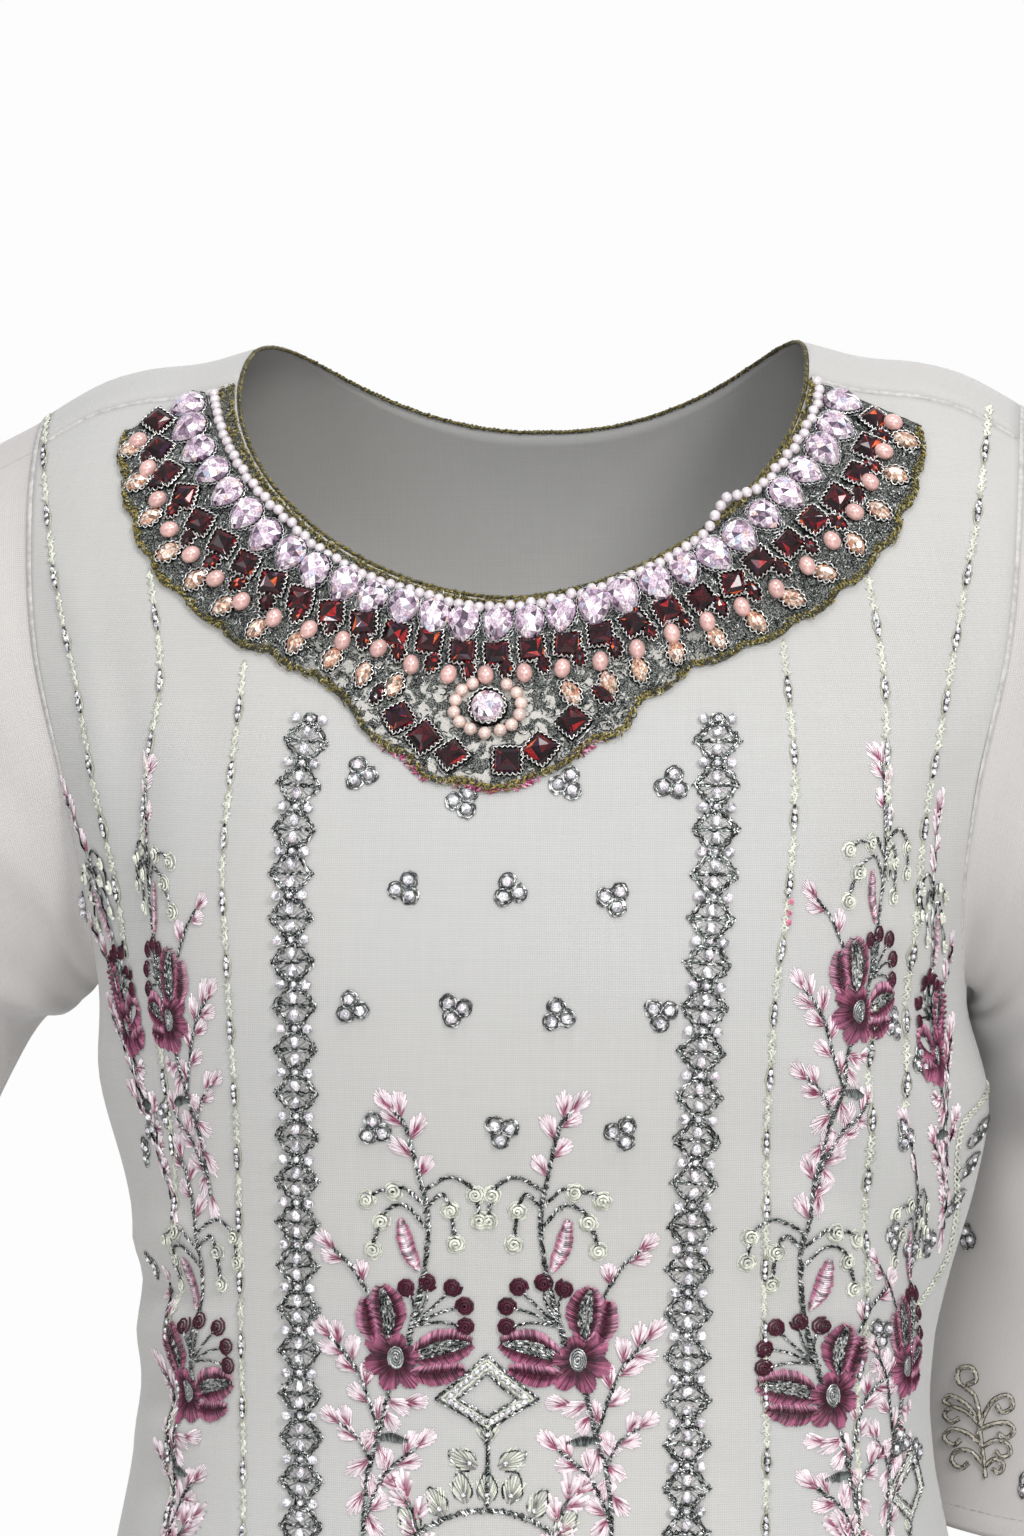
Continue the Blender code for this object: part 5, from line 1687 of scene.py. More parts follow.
class Motif:
    """Stitches of one motif, laid on the front round a centre."""

    def __init__(self, works, x, z, hand=1, turn=0.0, squeeze=1.0, fine=None):
        self.satin, self.metal, self.beads = works
        self.x, self.z, self.hand = x, z, hand
        self.inward, self.squeeze = squeeze if isinstance(squeeze, tuple) else (squeeze, squeeze)
        self.cos, self.sin = np.cos(turn), np.sin(turn)
        self.fine = z > FINE_ABOVE if fine is None else fine

    def place(self, path):
        across, up = self.hand * path[..., 0], path[..., 1]
        outward = smooth_step(0.5 + across * np.sign(self.x) / 8.0)
        across = across * (self.inward + (self.squeeze - self.inward) * outward)
        x = self.x + MM * (across * self.cos - up * self.sin)
        z = self.z + MM * (across * self.sin + up * self.cos)
        return x, z

    def threads(self, paths, tint, radius, lift, work=None):
        x, z = self.place(np.asarray(paths, float))
        narrow = 0.55 + 0.45 * self.squeeze
        (work or self.satin).lay(x, z, lift, radius * narrow, np.clip(tint, 0, 1))

    def cord(self, stops, width, fray=0.22):
        """Metal threads wound round each other, with frayed loops."""
        rough = sweep(stops, 24)
        arc = arc_along(rough, 0)
        count = max(int(arc[-1] / (0.70 if self.fine else 1.9)), 4)
        at = np.linspace(0.0, arc[-1], count)
        path = along_path(at, arc, rough)
        across = directions(path)[1]
        strands = (3 if width > 0.75 else 2) if self.fine else 1
        for k in range(strands):
            turn = at * 2.3 + 2 * np.pi * k / strands
            swing = width * (0.55 if self.fine else 0.2) * np.cos(turn) + rng.normal(0.0, fray, count)
            height = 0.0008 + 0.0004 * np.sin(turn)
            radius = 0.00033 if self.fine else 0.0007
            strand = (path + across * swing[:, None])[None]
            self.threads(strand, painted_glints(1, count, dull=1.15), radius, height[None], self.metal)

    def leaf(self, x, y, heading, length=9.6, width=5.8, base=LEAF_BASE, tip=LEAF_TIP, count=13):
        """Small leaf: loose stitches that fan out from its foot and rib."""
        count, steps, thick = (count, 4, 0.00036) if self.fine else (5, 3, 0.00080)
        share = np.linspace(-1.0, 1.0, count)
        side = np.abs(share)
        t = np.linspace(0.0, 1.0, steps)[None, :]
        start = (0.40 * (1.0 - side))[:, None]
        end = (1.0 - 0.40 * side ** 1.5 + rng.normal(0.0, 0.05, count))[:, None]
        reach = (np.sin(0.5 * np.pi * np.minimum(side * 1.15, 1.0)) * np.sign(share))[:, None]
        along = length * (start + (end - start) * t)
        across = 0.5 * width * reach * (0.12 + 0.88 * t ** 0.85)
        tone = rng.uniform(0.72, 1.10, (count, 1, 1))
        delay = rng.choice([-0.35, 0.0, 0.75], (count, 1, 1), p=[0.35, 0.4, 0.25])
        delay = delay + rng.uniform(-0.1, 0.1, (count, 1, 1))
        tint = (base + (tip - base) * smooth_step(t[..., None] * 2.6 - 0.25 - delay)) * tone
        rise = 0.0002 + 0.0005 * np.sin(np.pi * t) * rng.uniform(0.3, 1.0, (count, 1))
        self.threads(swung(x, y, along, across, heading), tint, thick, rise)

    def half_petal(self, rib, side, width, inner, outer, slant=2.4, inset=0.0):
        """Slanting satin stitches from a rib out to one side of a petal."""
        count = len(rib)
        share = np.linspace(0.0, 1.0, count)
        along, across = directions(rib)
        across = across * side
        reach = width * np.sin(np.pi * (0.06 + 0.90 * share)) ** 0.62 + rng.normal(0.0, 0.22, count)
        steps = 4 if self.fine else 3
        t = np.linspace(0.0, 1.0, steps)[None, :, None]
        foot = rib + across * inset * np.sin(np.pi * share)[:, None] ** 0.6
        head = rib + across * np.maximum(reach, 0.4)[:, None] + along * slant * (1.0 - share[:, None] * 0.6)
        path = foot[:, None] + (head - foot)[:, None] * t
        tint = inner + (outer - inner) * smooth_step(t * 1.9 - 0.45 + rng.uniform(-0.2, 0.2, (count, 1, 1)))
        arch = np.sin(np.pi * np.linspace(0.1, 0.9, steps))[None]
        thick = 0.00040 if self.fine else 0.0010
        tint = tint * rng.choice([0.42, 0.85, 1.0, 1.25], (count, 1, 1))
        rise = 0.0004 + (0.0005 + 0.0004 * rng.uniform(0, 1, (count, 1))) * arch
        self.threads(path, tint, thick, rise)

    def petal(self, stops, width, vein=True):
        rib = sweep(stops, int(path_length(stops) * (1.5 if self.fine else 0.6)))
        gap = 0.40 if vein else 0.0
        self.half_petal(rib, 1, width, BERRY, MAUVE_PALE, inset=gap * width)
        self.half_petal(rib, -1, width, BERRY, MAUVE, inset=gap * width)
        if vein:
            middle = rib[1:-2]
            shifts = np.linspace(-0.36, 0.36, 5 if self.fine else 2) * width
            across = directions(middle)[1]
            swell = np.sin(np.pi * np.linspace(0.08, 0.92, len(middle)))[:, None]
            for shift in shifts:
                path = middle + across * shift * swell + rng.normal(0.0, 0.2, middle.shape)
                self.threads(path[None], painted_glints(1, len(middle), dull=0.9), 0.00040, 0.0005, self.metal)

    def ruffle(self, low, high, lobes, inner, outer, count):
        """Ring of scalloped stitches round a flower's eye, from one angle to another."""
        count = count if self.fine else count // 3
        angle = np.radians(np.linspace(low, high, count))
        wave = np.abs(np.sin(np.linspace(0.0, np.pi * lobes, count)))
        reach = outer * (0.62 + 0.38 * wave ** 0.6) + rng.normal(0.0, 0.25, count)
        steps = 4 if self.fine else 3
        t = np.linspace(0.0, 1.0, steps)[None, :, None]
        start = np.stack([inner[0] * np.cos(angle), inner[1] * np.sin(angle)], axis=-1)
        path = start[:, None] + (polar(reach, angle) - start)[:, None] * t
        dark, shade = MAROON * 0.75, 0.35 + 0.65 * wave[:, None, None]
        blend = smooth_step(t * 1.8 - 0.4 + rng.uniform(-0.2, 0.2, (count, 1, 1)))
        tint = (dark + (MAUVE - dark) * blend) * shade
        arch = np.sin(np.pi * np.linspace(0.1, 0.9, steps))[None]
        rise = 0.0003 + (0.0006 + 0.0004 * rng.uniform(0, 1, (count, 1))) * arch
        tint = tint * rng.choice([0.45, 0.85, 1.0, 1.25], (count, 1, 1))
        self.threads(path, tint, 0.00042 if self.fine else 0.0011, rise)

    def coil(self, x, y, radius, tint, turns, thick, frayed=False):
        """Thread wound into a small disc."""
        centre = np.array([x, y])
        if not self.fine:
            turns, thick = 1.6, thick * 1.8
        turn = np.linspace(0.0, 2 * np.pi * turns, int(9 * turns)) + rng.uniform(0.0, 2 * np.pi)
        reach = radius * (0.10 + 0.90 * np.linspace(0.0, 1.0, len(turn)))
        rise = 0.0019 - 0.0014 * (reach / radius) ** 2
        tone = tint * rng.choice([0.55, 0.9, 1.0, 1.2], (1, len(turn), 1))
        self.threads((centre + polar(reach, turn))[None], tone, thick, rise[None])
        if frayed and self.fine:
            turn = np.linspace(0.0, 2 * np.pi, 22)
            for swell in (1.04, 1.16):
                reach = radius * swell + rng.normal(0.0, 0.22, 22)
                path = (centre + polar(reach, turn))[None]
                self.threads(path, tint * rng.uniform(0.6, 1.1, (1, 22, 1)), 0.00028, 0.0003)

    def eye(self):
        steps = 44 if self.fine else 16
        turn = np.linspace(0.0, 2 * np.pi * (3.6 if self.fine else 2.0), steps)
        reach = np.linspace(0.12, 1.0, steps)
        path = polar(reach, turn) * np.array([3.2, 4.6])
        tint = painted_glints(1, steps) * 0.45 + EYE_TINT
        self.threads(path[None], tint, 0.00052, 0.0014 - 0.0007 * reach[None], self.metal)

    def twig(self, stops, leaves, width=0.9, length=9.6, start=0.06):
        """Stem with leaves to both sides and one at its tip."""
        self.cord(stops, width)
        path = sweep(stops, 60)
        for k in range(leaves):
            share = start + (0.94 - start) * (k + 0.3) / leaves
            at = min(int(share * 59), 58)
            heading = np.arctan2(*(path[at + 1] - path[at])[::-1])
            side = 1 if k % 2 else -1
            turn = heading + side * TWIG_SPREAD * rng.uniform(0.8, 1.2)
            foot = path[at] + polar(0.8, turn)
            self.leaf(*foot, turn, length * rng.uniform(0.88, 1.08))
        heading = np.arctan2(*(path[-1] - path[-3])[::-1])
        self.leaf(path[-1, 0], path[-1, 1], heading, length)

    def berries(self, foot, places):
        for x, y in places:
            middle = (0.5 * (foot[0] + x) + 0.12 * (y - foot[1]), 0.5 * (foot[1] + y) + 0.08 * (x - foot[0]))
            self.cord([foot, middle, (x, y)], 0.6, 0.1)
            self.coil(x, y, 3.5, BERRY, 3.0, 0.00060)

    def long_leaf(self, stops):
        """Narrow leaf: pale inside, edged with deep pink."""
        rib = sweep(stops, 26 if self.fine else 10)
        for side in (1, -1):
            self.half_petal(rib, side, 2.9, LEAF_TIP * 0.9, MAUVE, 1.2)

    def trefoil(self, turn, radius=3.2):
        angle = turn + np.radians([90.0, 210.0, 330.0])
        centre = polar(radius, angle)
        steps = np.linspace(0.0, 2 * np.pi, 19)
        for swell in (3.2, 2.8, 2.4):
            reach = swell + rng.normal(0.0, 0.22, (3, 19))
            path = centre[:, None] + polar(reach, steps)
            self.threads(path, painted_glints(3, 19) + 0.04, 0.00031, rng.uniform(0.0004, 0.0009), self.metal)
        self.bead(centre, 2.15)

    def bead(self, centre, radius, tall=1.0):
        centre = np.atleast_2d(np.asarray(centre, float))
        self.beads.string(*self.place(centre), radius * MM * (0.4 + 0.6 * self.squeeze), tall)


# Beaded borders down both sides of the middle

Stop = namedtuple("Stop", "level x")


def front_line(*places):
    """A line down the front, by level and x."""
    return named_rows(Stop, places)


BORDERS = {
    "right": front_line((-1.016, -0.0750), (-0.700, -0.0754), (-0.442, -0.0757), (-0.359, -0.0763),
                        (-0.284, -0.0747), (-0.246, -0.0746), (-0.212, -0.0764), (-0.176, -0.0750),
                        (-0.146, -0.0716)),
    "left": front_line((-1.016, 0.0655), (-0.700, 0.0658), (-0.439, 0.0661), (-0.335, 0.0679),
                       (-0.301, 0.0705), (-0.267, 0.0727), (-0.232, 0.0753), (-0.197, 0.0774),
                       (-0.146, 0.0778)),
}
CELL_PITCH = 0.0160
CELL_CURLS = 54
CELL_RIM = np.array([
    (0.8, 7.2), (3.2, 6.2), (5.8, 3.4), (7.9, 0.4), (7.9, -0.4), (5.8, -3.4), (3.2, -6.2), (0.8, -7.2),
])


def border_cell(motif):
    """One lens of metal thread round two beads, with a knot of beads above it."""
    fine = motif.fine
    steps = 26 if fine else 12
    for side in (1, -1):
        for inner in (1.0, 0.90, 0.80) if fine else (1.0, 0.85):
            path = sweep(CELL_RIM * np.array([side * inner, inner]), steps)
            path = path + rng.normal(0.0, 0.30, (steps, 2))
            tint = painted_glints(1, steps, dull=1.15)
            motif.threads(path[None], tint, 0.00032, rng.uniform(0.0004, 0.0010), motif.metal)
    for y in (0.5, -0.3) if fine else (0.1,):
        steps = 18 if fine else 8
        path = np.column_stack([np.linspace(-6.6, 6.6, steps), y + rng.normal(0.0, 0.25, steps)])
        motif.threads(path[None], painted_glints(1, steps), 0.00034, 0.0005, motif.metal)
    turn = np.linspace(0.0, 2 * np.pi, 12)
    for reach in (1.9, 2.5) if fine else (2.1,):
        path = np.array([0.0, 8.0]) + polar(reach, turn) + rng.normal(0.0, 0.2, (12, 2))
        motif.threads(path[None], painted_glints(1, 12), 0.00034, 0.0004, motif.metal)
    if fine:
        fill_cell(motif)
    motif.bead([(0.0, 3.1), (0.0, -3.1)], 1.9, 1.35)
    motif.bead([(0.0, 8.0)], 1.35)
    motif.bead([(-5.0, 7.9), (5.0, 7.9)], 2.1)


def fill_cell(motif):
    """Net between the rim and the beads of a cell, and curls of metal thread over it."""
    angle = np.radians(np.concatenate([np.linspace(25, 155, 7), np.linspace(205, 335, 7)]))
    t = np.linspace(0.35, 1.0, 3)[None, :, None]
    end = np.stack([5.6 * np.cos(angle), 5.0 * np.sin(angle)], axis=-1)
    tint = NET_TINT * rng.uniform(0.5, 1.25, (len(end), 1, 1))
    motif.threads(end[:, None] * t, tint, 0.00026, 0.0002, motif.metal)
    at = rng.integers(0, 26, CELL_CURLS)
    rim = sweep(CELL_RIM, 26)[at] * rng.uniform(0.80, 1.05, (CELL_CURLS, 1))
    rim[:, 0] *= rng.choice([-1, 1], CELL_CURLS)
    start = rng.uniform(0, 2 * np.pi, CELL_CURLS)[:, None]
    turn = start + rng.uniform(1.2, 3.6, CELL_CURLS)[:, None] * np.linspace(0, 1, 5)
    curl = rim[:, None] + rng.uniform(0.35, 0.85, (CELL_CURLS, 1, 1)) * polar(1.0, turn)
    motif.threads(curl, painted_glints(CELL_CURLS, 5, dull=1.15), 0.00027, 0.0009, motif.metal)


def build_borders(beads):
    for name, stops in BORDERS.items():
        metal = Work()
        top, bottom = stops[-1].level, stops[0].level
        for k in range(int((top - bottom) / CELL_PITCH)):
            z = top - (k + 0.5) * CELL_PITCH
            x = curve(stops, "x", z)
            lean = np.arctan2(curve(stops, "x", z - 0.004) - curve(stops, "x", z + 0.004), 0.008)
            border_cell(Motif((metal, metal, beads), x, z, 1, lean))
        border = metal.build(f"border_{name}_metal", ZARI, "beaded_border")
        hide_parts(f"border_{name}")


# Chains of cream thread with links of metal thread

CHAINS = (
    front_line((-1.0, -0.0985), (-0.448, -0.0985), (-0.360, -0.0998), (-0.285, -0.0989),
               (-0.241, -0.1008), (-0.197, -0.1036), (-0.161, -0.1008), (-0.124, -0.0977)),
    front_line((-1.0, 0.0942), (-0.444, 0.0944), (-0.339, 0.0946), (-0.284, 0.0962),
               (-0.247, 0.0989), (-0.211, 0.1035), (-0.168, 0.1057), (-0.117, 0.1008)),
    front_line((-0.205, -0.1385), (-0.1644, -0.1354), (-0.131, -0.1306), (-0.0897, -0.1360)),
    front_line((-0.205, 0.1405), (-0.1644, 0.1390), (-0.1315, 0.1378), (-0.0929, 0.1315)),
    front_line((-1.0, -0.1290), (-0.363, -0.1290), (-0.298, -0.1266), (-0.262, -0.1300)),
    front_line((-1.0, 0.1290), (-0.356, 0.1291), (-0.2775, 0.1314), (-0.250, 0.1340)),
    front_line((-0.2355, -0.1455), (-0.198, -0.1511), (-0.1382, -0.1632), (-0.1004, -0.1722),
               (-0.054, -0.1818), (-0.0267, -0.1865)),
    front_line((-0.2894, 0.1432), (-0.2343, 0.1475), (-0.1754, 0.1542), (-0.1314, 0.1614),
               (-0.0758, 0.1706), (-0.027, 0.1761)),
)
LINK_PITCH = 0.0235
CHAIN_STEP = 0.0012


def build_chains(satin, metal, beads):
    for stops in CHAINS:
        top, bottom = stops[-1].level, stops[0].level
        levels = np.arange(top, bottom, -CHAIN_STEP)
        x = curve(stops, "x", levels)
        arc = top - levels
        phase = (arc % LINK_PITCH) / LINK_PITCH
        plain = smooth_step((0.56 - phase) / 0.06) * smooth_step(phase / 0.05)
        bulge = np.sin(np.pi * np.clip((phase - 0.54) / 0.46, 0.0, 1.0))
        shown = np.flatnonzero(bulge > 0.08)
        links = [piece for piece in np.split(shown, np.flatnonzero(np.diff(shown) > 1) + 1) if len(piece) > 3]
        for side in (-1, 1):
            for reach in (0.0013, 0.0006):
                zigzag = reach * np.sin(arc * 2100.0 + 900.0 * reach + side) * plain
                cream = side * (0.0003 * plain + 0.0013 * bulge) + zigzag + rng.normal(0.0, 0.00022, len(arc))
                tone = rng.uniform(0.66, 1.12, (len(arc), 1))
                tint = np.where(plain[:, None] < 0.5, CREAM_DARK * tone, CREAM * tone)
                lift = 0.0004 + 0.0004 * plain * np.cos(arc * 2100.0) * side
                flat = (x + cream, levels, lift, 0.00034 + 0.00010 * plain, np.clip(tint, 0, 1))
                satin.lay(*(part[None] for part in flat))
            inner = x + side * 0.00085 * bulge
            tint = painted_glints(len(arc))
            for piece in links:
                metal.lay(inner[piece][None], levels[piece][None], 0.0006, 0.00042, tint[piece][None])
        for k in range(int((top - bottom) / LINK_PITCH)):
            at = top - (k + np.array([0.66, 0.77, 0.88])) * LINK_PITCH
            beads.string(curve(stops, "x", at), at, 0.0010, 1.4)


Trefoil = namedtuple("Trefoil", "x z squeeze")
TREFOILS = named_rows(Trefoil, (
    (-51.5, -165.9, 1), (24.0, -169.5, 1), (61.8, -169.5, 1), (-13.5, -176.0, 1), (-33.8, -207.3, 1),
    (4.4, -207.9, 1), (41.7, -210.7, 1), (-53.0, -250.3, 1), (-15.5, -250.6, 1), (22.0, -252.6, 1),
    (58.6, -251.9, 1), (-45.5, -294.4, 1), (1.0, -294.5, 1), (44.2, -295.1, 1), (140.7, -257.5, 0.45),
    (148.8, -271.7, 0.4), (142.0, -298.6, 0.55), (149.5, -340.0, 0.35), (138.6, -336.2, 0.3),
    (144.5, -343.4, 0.35), (134.1, -372.2, 0.65), (141.9, -415.3, 0.5), (146.8, -420.9, 0.32),
    (-128.4, -291.4, 0.4), (-135.5, -296.9, 0.4), (-139.4, -306.8, 0.3), (-142.0, -352.0, 0.3),
    (-184.7, -215.9, 0.8),
))
Spray = namedtuple("Spray", "x z hand turn squeeze fine")
SPRAYS = named_rows(Spray, (
    (-0.1255, -0.2570, -1, 0.10, (0.68, 0.28), True),
    (-0.1443, -0.2602, 1, 0.30, 0.26, False),
    (-0.1252, -0.3977, 1, 0.0, (0.78, 0.42), True),
    (0.1287, -0.2523, 1, -0.08, (0.80, 0.42), True),
    (0.1542, -0.2696, -1, -0.05, 0.20, False),
    (0.1189, -0.3949, -1, 0.0, (0.98, 0.74), True),
    (0.1430, -0.3867, 1, 0.0, (0.42, 0.16), True),
))
MIDDLE_SPRAYS = 5
MIDDLE_SPRAY_TOP = -0.3788
MIDDLE_SPRAY_RIGHT = -0.0394
MIDDLE_SPRAY_LEFT = 0.0270
LOZENGE_X = -0.0060
LOZENGE_DROP = 0.0147
SIDE_LOZENGE = (0.1460, -0.4337)
SIDE_SPRAYS = 3
SIDE_SPRAY_TOP = -0.396
SIDE_SPRAY_OUT = 0.120
SPRAY_PITCH = 0.140


def flower(motif):
    """Flower seen from the side: two veined petals, two darker ones behind, and a frilled ring."""
    motif.petal([(-8.0, 5.0), (-10.2, 12.5), (-11.4, 21.0)], 4.4, vein=False)
    motif.petal([(4.5, -5.4), (14.0, -5.6), (24.5, -3.6)], 4.4, vein=False)
    motif.petal([(-2.8, 6.5), (-2.8, 16.5), (-5.0, 26.0)], 6.9)
    motif.petal([(5.0, -0.2), (16.0, 4.0), (27.5, 6.0)], 6.7)
    motif.ruffle(120.0, 330.0, 4, inner=(3.2, 4.4), outer=12.8, count=66)
    motif.ruffle(-30.0, 120.0, 2, inner=(3.0, 4.4), outer=9.0, count=34)
    motif.eye()


CROWN = (
    ([(11.1, 57.0), (4.2, 63.0), (0.3, 61.6), (-5.5, 61.8), (-9.7, 58.4)], (2, 4)),
    ([(12.2, 48.5), (4.2, 56.8), (-2.8, 54.5), (-4.4, 50.5), (-6.9, 45.0), (-7.9, 39.9)], (3, 5)),
    ([(11.1, 62.0), (20.8, 67.2), (27.7, 64.4), (30.2, 60.7), (31.6, 51.2)], (3, 4)),
    ([(12.2, 56.0), (18.0, 61.0), (21.0, 54.7), (22.6, 42.5)], (2, 3)),
)


def spray(motif):
    """Flower with its berries, its stems, twigs and leaves, and a crown of small coils above it."""
    foot = (6.0, 12.0)
    motif.cord([foot, (11.0, 32.5), (12.7, 49.0), (11.8, 60.0), (10.4, 64.5)], 1.3)
    motif.cord([(4.5, 5.0), foot, (9.5, 24.0)], 1.9)
    motif.twig([(10.4, 64.5), (7.6, 77.0), (4.8, 86.5), (1.0, 91.0)], 5, 1.1, start=0.02)
    motif.twig([(-3.0, -12.0), (-6.5, -28.0), (-11.0, -44.0), (-12.5, -66.0)], 6, 1.4, start=0.30)
    motif.twig([(-6.5, -28.0), (-15.0, -5.0), (-25.0, 7.0)], 7)
    motif.twig([(-9.5, 23.0), (-16.5, 34.0), (-23.0, 40.0)], 2, 0.8, 8.4)
    motif.twig([(-12.0, -60.0), (-5.0, -44.0), (7.0, -33.0)], 6)
    motif.twig([(-10.5, -38.0), (-15.0, -30.0), (-22.0, -25.0)], 3, 0.7, 8.4)
    motif.leaf(-3.5, -16.0, -0.4, 9.5)
    motif.leaf(-5.0, -20.0, -0.95, 9.0)
    motif.leaf(3.0, -16.5, 0.1, 9.0)
    cup = sweep([(-8.5, -29.0), (-2.0, -28.0), (4.0, -30.0)], 16)
    motif.half_petal(cup, -1, 3.4, CUP_DARK, CUP_LIGHT, 0.6)
    motif.berries(foot, ((4.4, 26.3), (12.2, 28.4), (21.2, 26.6), (25.6, 19.4), (25.9, 12.0)))
    motif.long_leaf([(9.0, 32.5), (4.8, 41.5), (2.8, 51.0)])
    flower(motif)
    for path, coils in CROWN:
        motif.cord(path, 0.9)
        for k in coils:
            motif.coil(*path[k], 2.9, CREAM, 2.3, 0.00056, frayed=True)


CrownLeaf = namedtuple("CrownLeaf", "x y turn size")
LOZENGE_CORNERS = np.array([(0.0, 16.5), (19.0, 0.0), (0.0, -11.5), (-19.0, 0.0)])
LOZENGE_LEAVES = named_rows(CrownLeaf, (
    (0, -16, 90, 7),
    (-4, -25, 152, 11),
    (4, -25, 28, 11),
    (0, -38, 90, 11),
    (-8, -38, 104, 11),
    (8, -38, 76, 11),
    (-16, -43, 118, 11),
    (16, -43, 62, 11),
    (-25, -49, 130, 11),
    (25, -49, 50, 11),
))


def lozenge(motif):
    """Open diamond of cream and metal thread over a crown of small leaves."""
    for start, end in zip(LOZENGE_CORNERS, np.roll(LOZENGE_CORNERS, -1, axis=0)):
        for inner, metal in ((1.0, True), (0.88, False), (0.78, False), (0.68, False), (0.58, True)):
            a, b = start * inner, end * inner
            if metal:
                motif.cord([a, 0.5 * (a + b) * 0.96, b], 0.7, 0.16)
            else:
                path = a + (b - a) * np.linspace(0, 1, 20)[:, None] + rng.normal(0.0, 0.26, (20, 2))
                motif.threads(path[None], CREAM * rng.uniform(0.75, 1.1, (1, 20, 1)), 0.00050, 0.0005)
        for share in np.linspace(0.10, 0.90, 7):
            motif.bead([(start + (end - start) * share) * 0.79], 1.25)
    for x, y, turn, size in LOZENGE_LEAVES:
        turn = np.radians(turn)
        motif.leaf(x, y, turn, size, 8.5, CROWN_LEAF, CREAM, 11)
        rim = np.radians(np.linspace(-150.0, 150.0, 16))
        along = 0.55 * size + 0.52 * size * np.cos(rim) * (1 - 0.15 * np.abs(np.sin(rim)))
        across = 0.42 * size * np.sin(rim) * (0.75 - 0.25 * np.cos(rim))
        path = swung(x, y, along, across, turn)[None] + rng.normal(0.0, 0.15, (1, 16, 2))
        motif.threads(path, painted_glints(1, 16), 0.00038, 0.0005, motif.metal)
        motif.bead([np.array([x, y]) + polar(3.0, turn)], 1.1)
    motif.cord([(-30.0, -52.0), (-14.0, -43.0), (0.0, -40.5), (14.0, -43.0), (30.0, -52.0)], 1.6, 0.3)
    motif.cord([(0.0, -11.5), (0.0, -24.0), (0.0, -39.0)], 1.2)


# A chain that runs round the side at the waist, with ringed beads on it, and sequins beside the left border

SIDE_CHAIN = [(170.0, -283.5), (164.9, -290.0), (159.0, -297.7), (157.2, -314.0), (157.4, -329.8),
              (156.0, -346.3), (151.8, -358.0), (147.1, -365.6)]
SIDE_RINGS = ((164.0, -301.5), (161.0, -313.8), (157.0, -327.3))
SEQUINS = ((104.3, -212.0), (103.5, -216.1), (103.5, -219.3))
SEQUIN_PINK = srgb(222, 132, 158)


def side_trim(works):
    steps = 130
    path = sweep(SIDE_CHAIN, steps)
    wander = np.cos(np.linspace(0.0, 150.0, steps))[:, None]
    for side in (-1, 1):
        swing = side * np.column_stack([wander * 0.55, -wander * 0.30])
        tint = CREAM * rng.uniform(0.62, 1.05, (1, steps, 1))
        works[0].lay(*(MM * (path + swing).T[:, None]), 0.0006 + 0.0003 * side * wander.T, 0.00042, tint)
    for x, z in SIDE_RINGS:
        motif = Motif(works, x * MM, z * MM, turn=-0.5, squeeze=(0.50, 0.15), fine=True)
        motif.trefoil(0.4, 3.0)
    for x, z in SEQUINS:
        Motif(works, x * MM, z * MM, fine=True).coil(0.0, 0.0, 1.1, SEQUIN_PINK, 2.0, 0.0003)


# Scroll of cream cord low on the left sleeve, with a few knots of metal thread

SCROLL_AT = (0.1720, -0.4190)
SCROLLS = (
    [(2.5, -23.0), (1.5, -14.0), (0.5, -5.0), (0.0, 3.0), (-2.0, 10.0), (-7.5, 14.0), (-7.5, 19.5),
     (-2.5, 20.5), (-1.0, 16.0), (-4.5, 13.5)],
    [(-0.5, -6.0), (2.0, 2.0), (6.0, 8.5), (11.5, 10.5), (13.0, 6.0), (9.0, 3.5), (6.8, 6.6)],
    [(1.0, -3.0), (-4.0, 2.0), (-10.0, 4.0), (-13.5, 1.0), (-11.0, -2.0), (-7.5, 0.0)],
    [(1.0, -10.0), (-5.0, -5.5), (-11.0, -5.0), (-13.5, -8.5), (-10.0, -11.0), (-7.0, -8.5)],
    [(2.0, -19.0), (-3.0, -13.0), (-9.0, -13.5), (-10.5, -17.5), (-7.0, -20.0), (-4.0, -17.5)],
    [(0.0, -4.0), (5.0, -1.5), (11.0, -0.5), (13.5, -4.0), (10.5, -6.8), (7.5, -4.8)],
    [(1.0, -11.0), (6.0, -8.0), (11.0, -9.0), (12.0, -13.0), (8.5, -14.5), (6.5, -12.0)],
    [(2.0, -19.0), (6.0, -15.5), (9.5, -17.5), (8.0, -21.0), (5.0, -19.5)],
    [(-0.5, 1.0), (-5.0, 6.0), (-11.0, 8.5), (-13.5, 6.0), (-11.0, 4.5)],
)
SCROLL_CREAM = srgb(186, 180, 166)
SCROLL_SHADOW = srgb(84, 80, 72)
SLEEVE_KNOTS = ((0.168, -0.3475), (0.190, -0.4450))


def build_sleeve_work(cloth):
    satin, metal, beads = works = [Work(cloth) for _ in range(3)]
    motif = Motif(works, *SCROLL_AT, fine=True)
    for stops in SCROLLS:
        count = int(path_length(stops) * 1.1)
        path = sweep(stops, count)
        motif.threads(path[None], SCROLL_SHADOW * rng.uniform(0.7, 1.2, (1, count, 1)), 0.00140, 0.0001)
        for swing in (-0.42, 0.42):
            twist = swing * np.cos(np.arange(count) * 1.9)[:, None]
            tint = SCROLL_CREAM * rng.uniform(0.70, 1.12, (1, count, 1))
            motif.threads((path + twist)[None], tint, 0.00068, 0.0008 + 0.0002 * twist.T)
        fray = path + rng.normal(0.0, 0.35, path.shape)
        motif.threads(fray[None], painted_glints(1, count), 0.00022, 0.0014, metal)
    for x, z in SLEEVE_KNOTS:
        Motif(works, x, z, squeeze=0.55, fine=True).trefoil(0.3, 2.4)
    satin.build("sleeve_scroll_thread", SATIN, "thread")
    metal.build("sleeve_scroll_metal", ZARI, "zari")
    beads.build("sleeve_beads", BEAD, "clear_bead")


# Felled seams over the joins, and the stitches above the hems

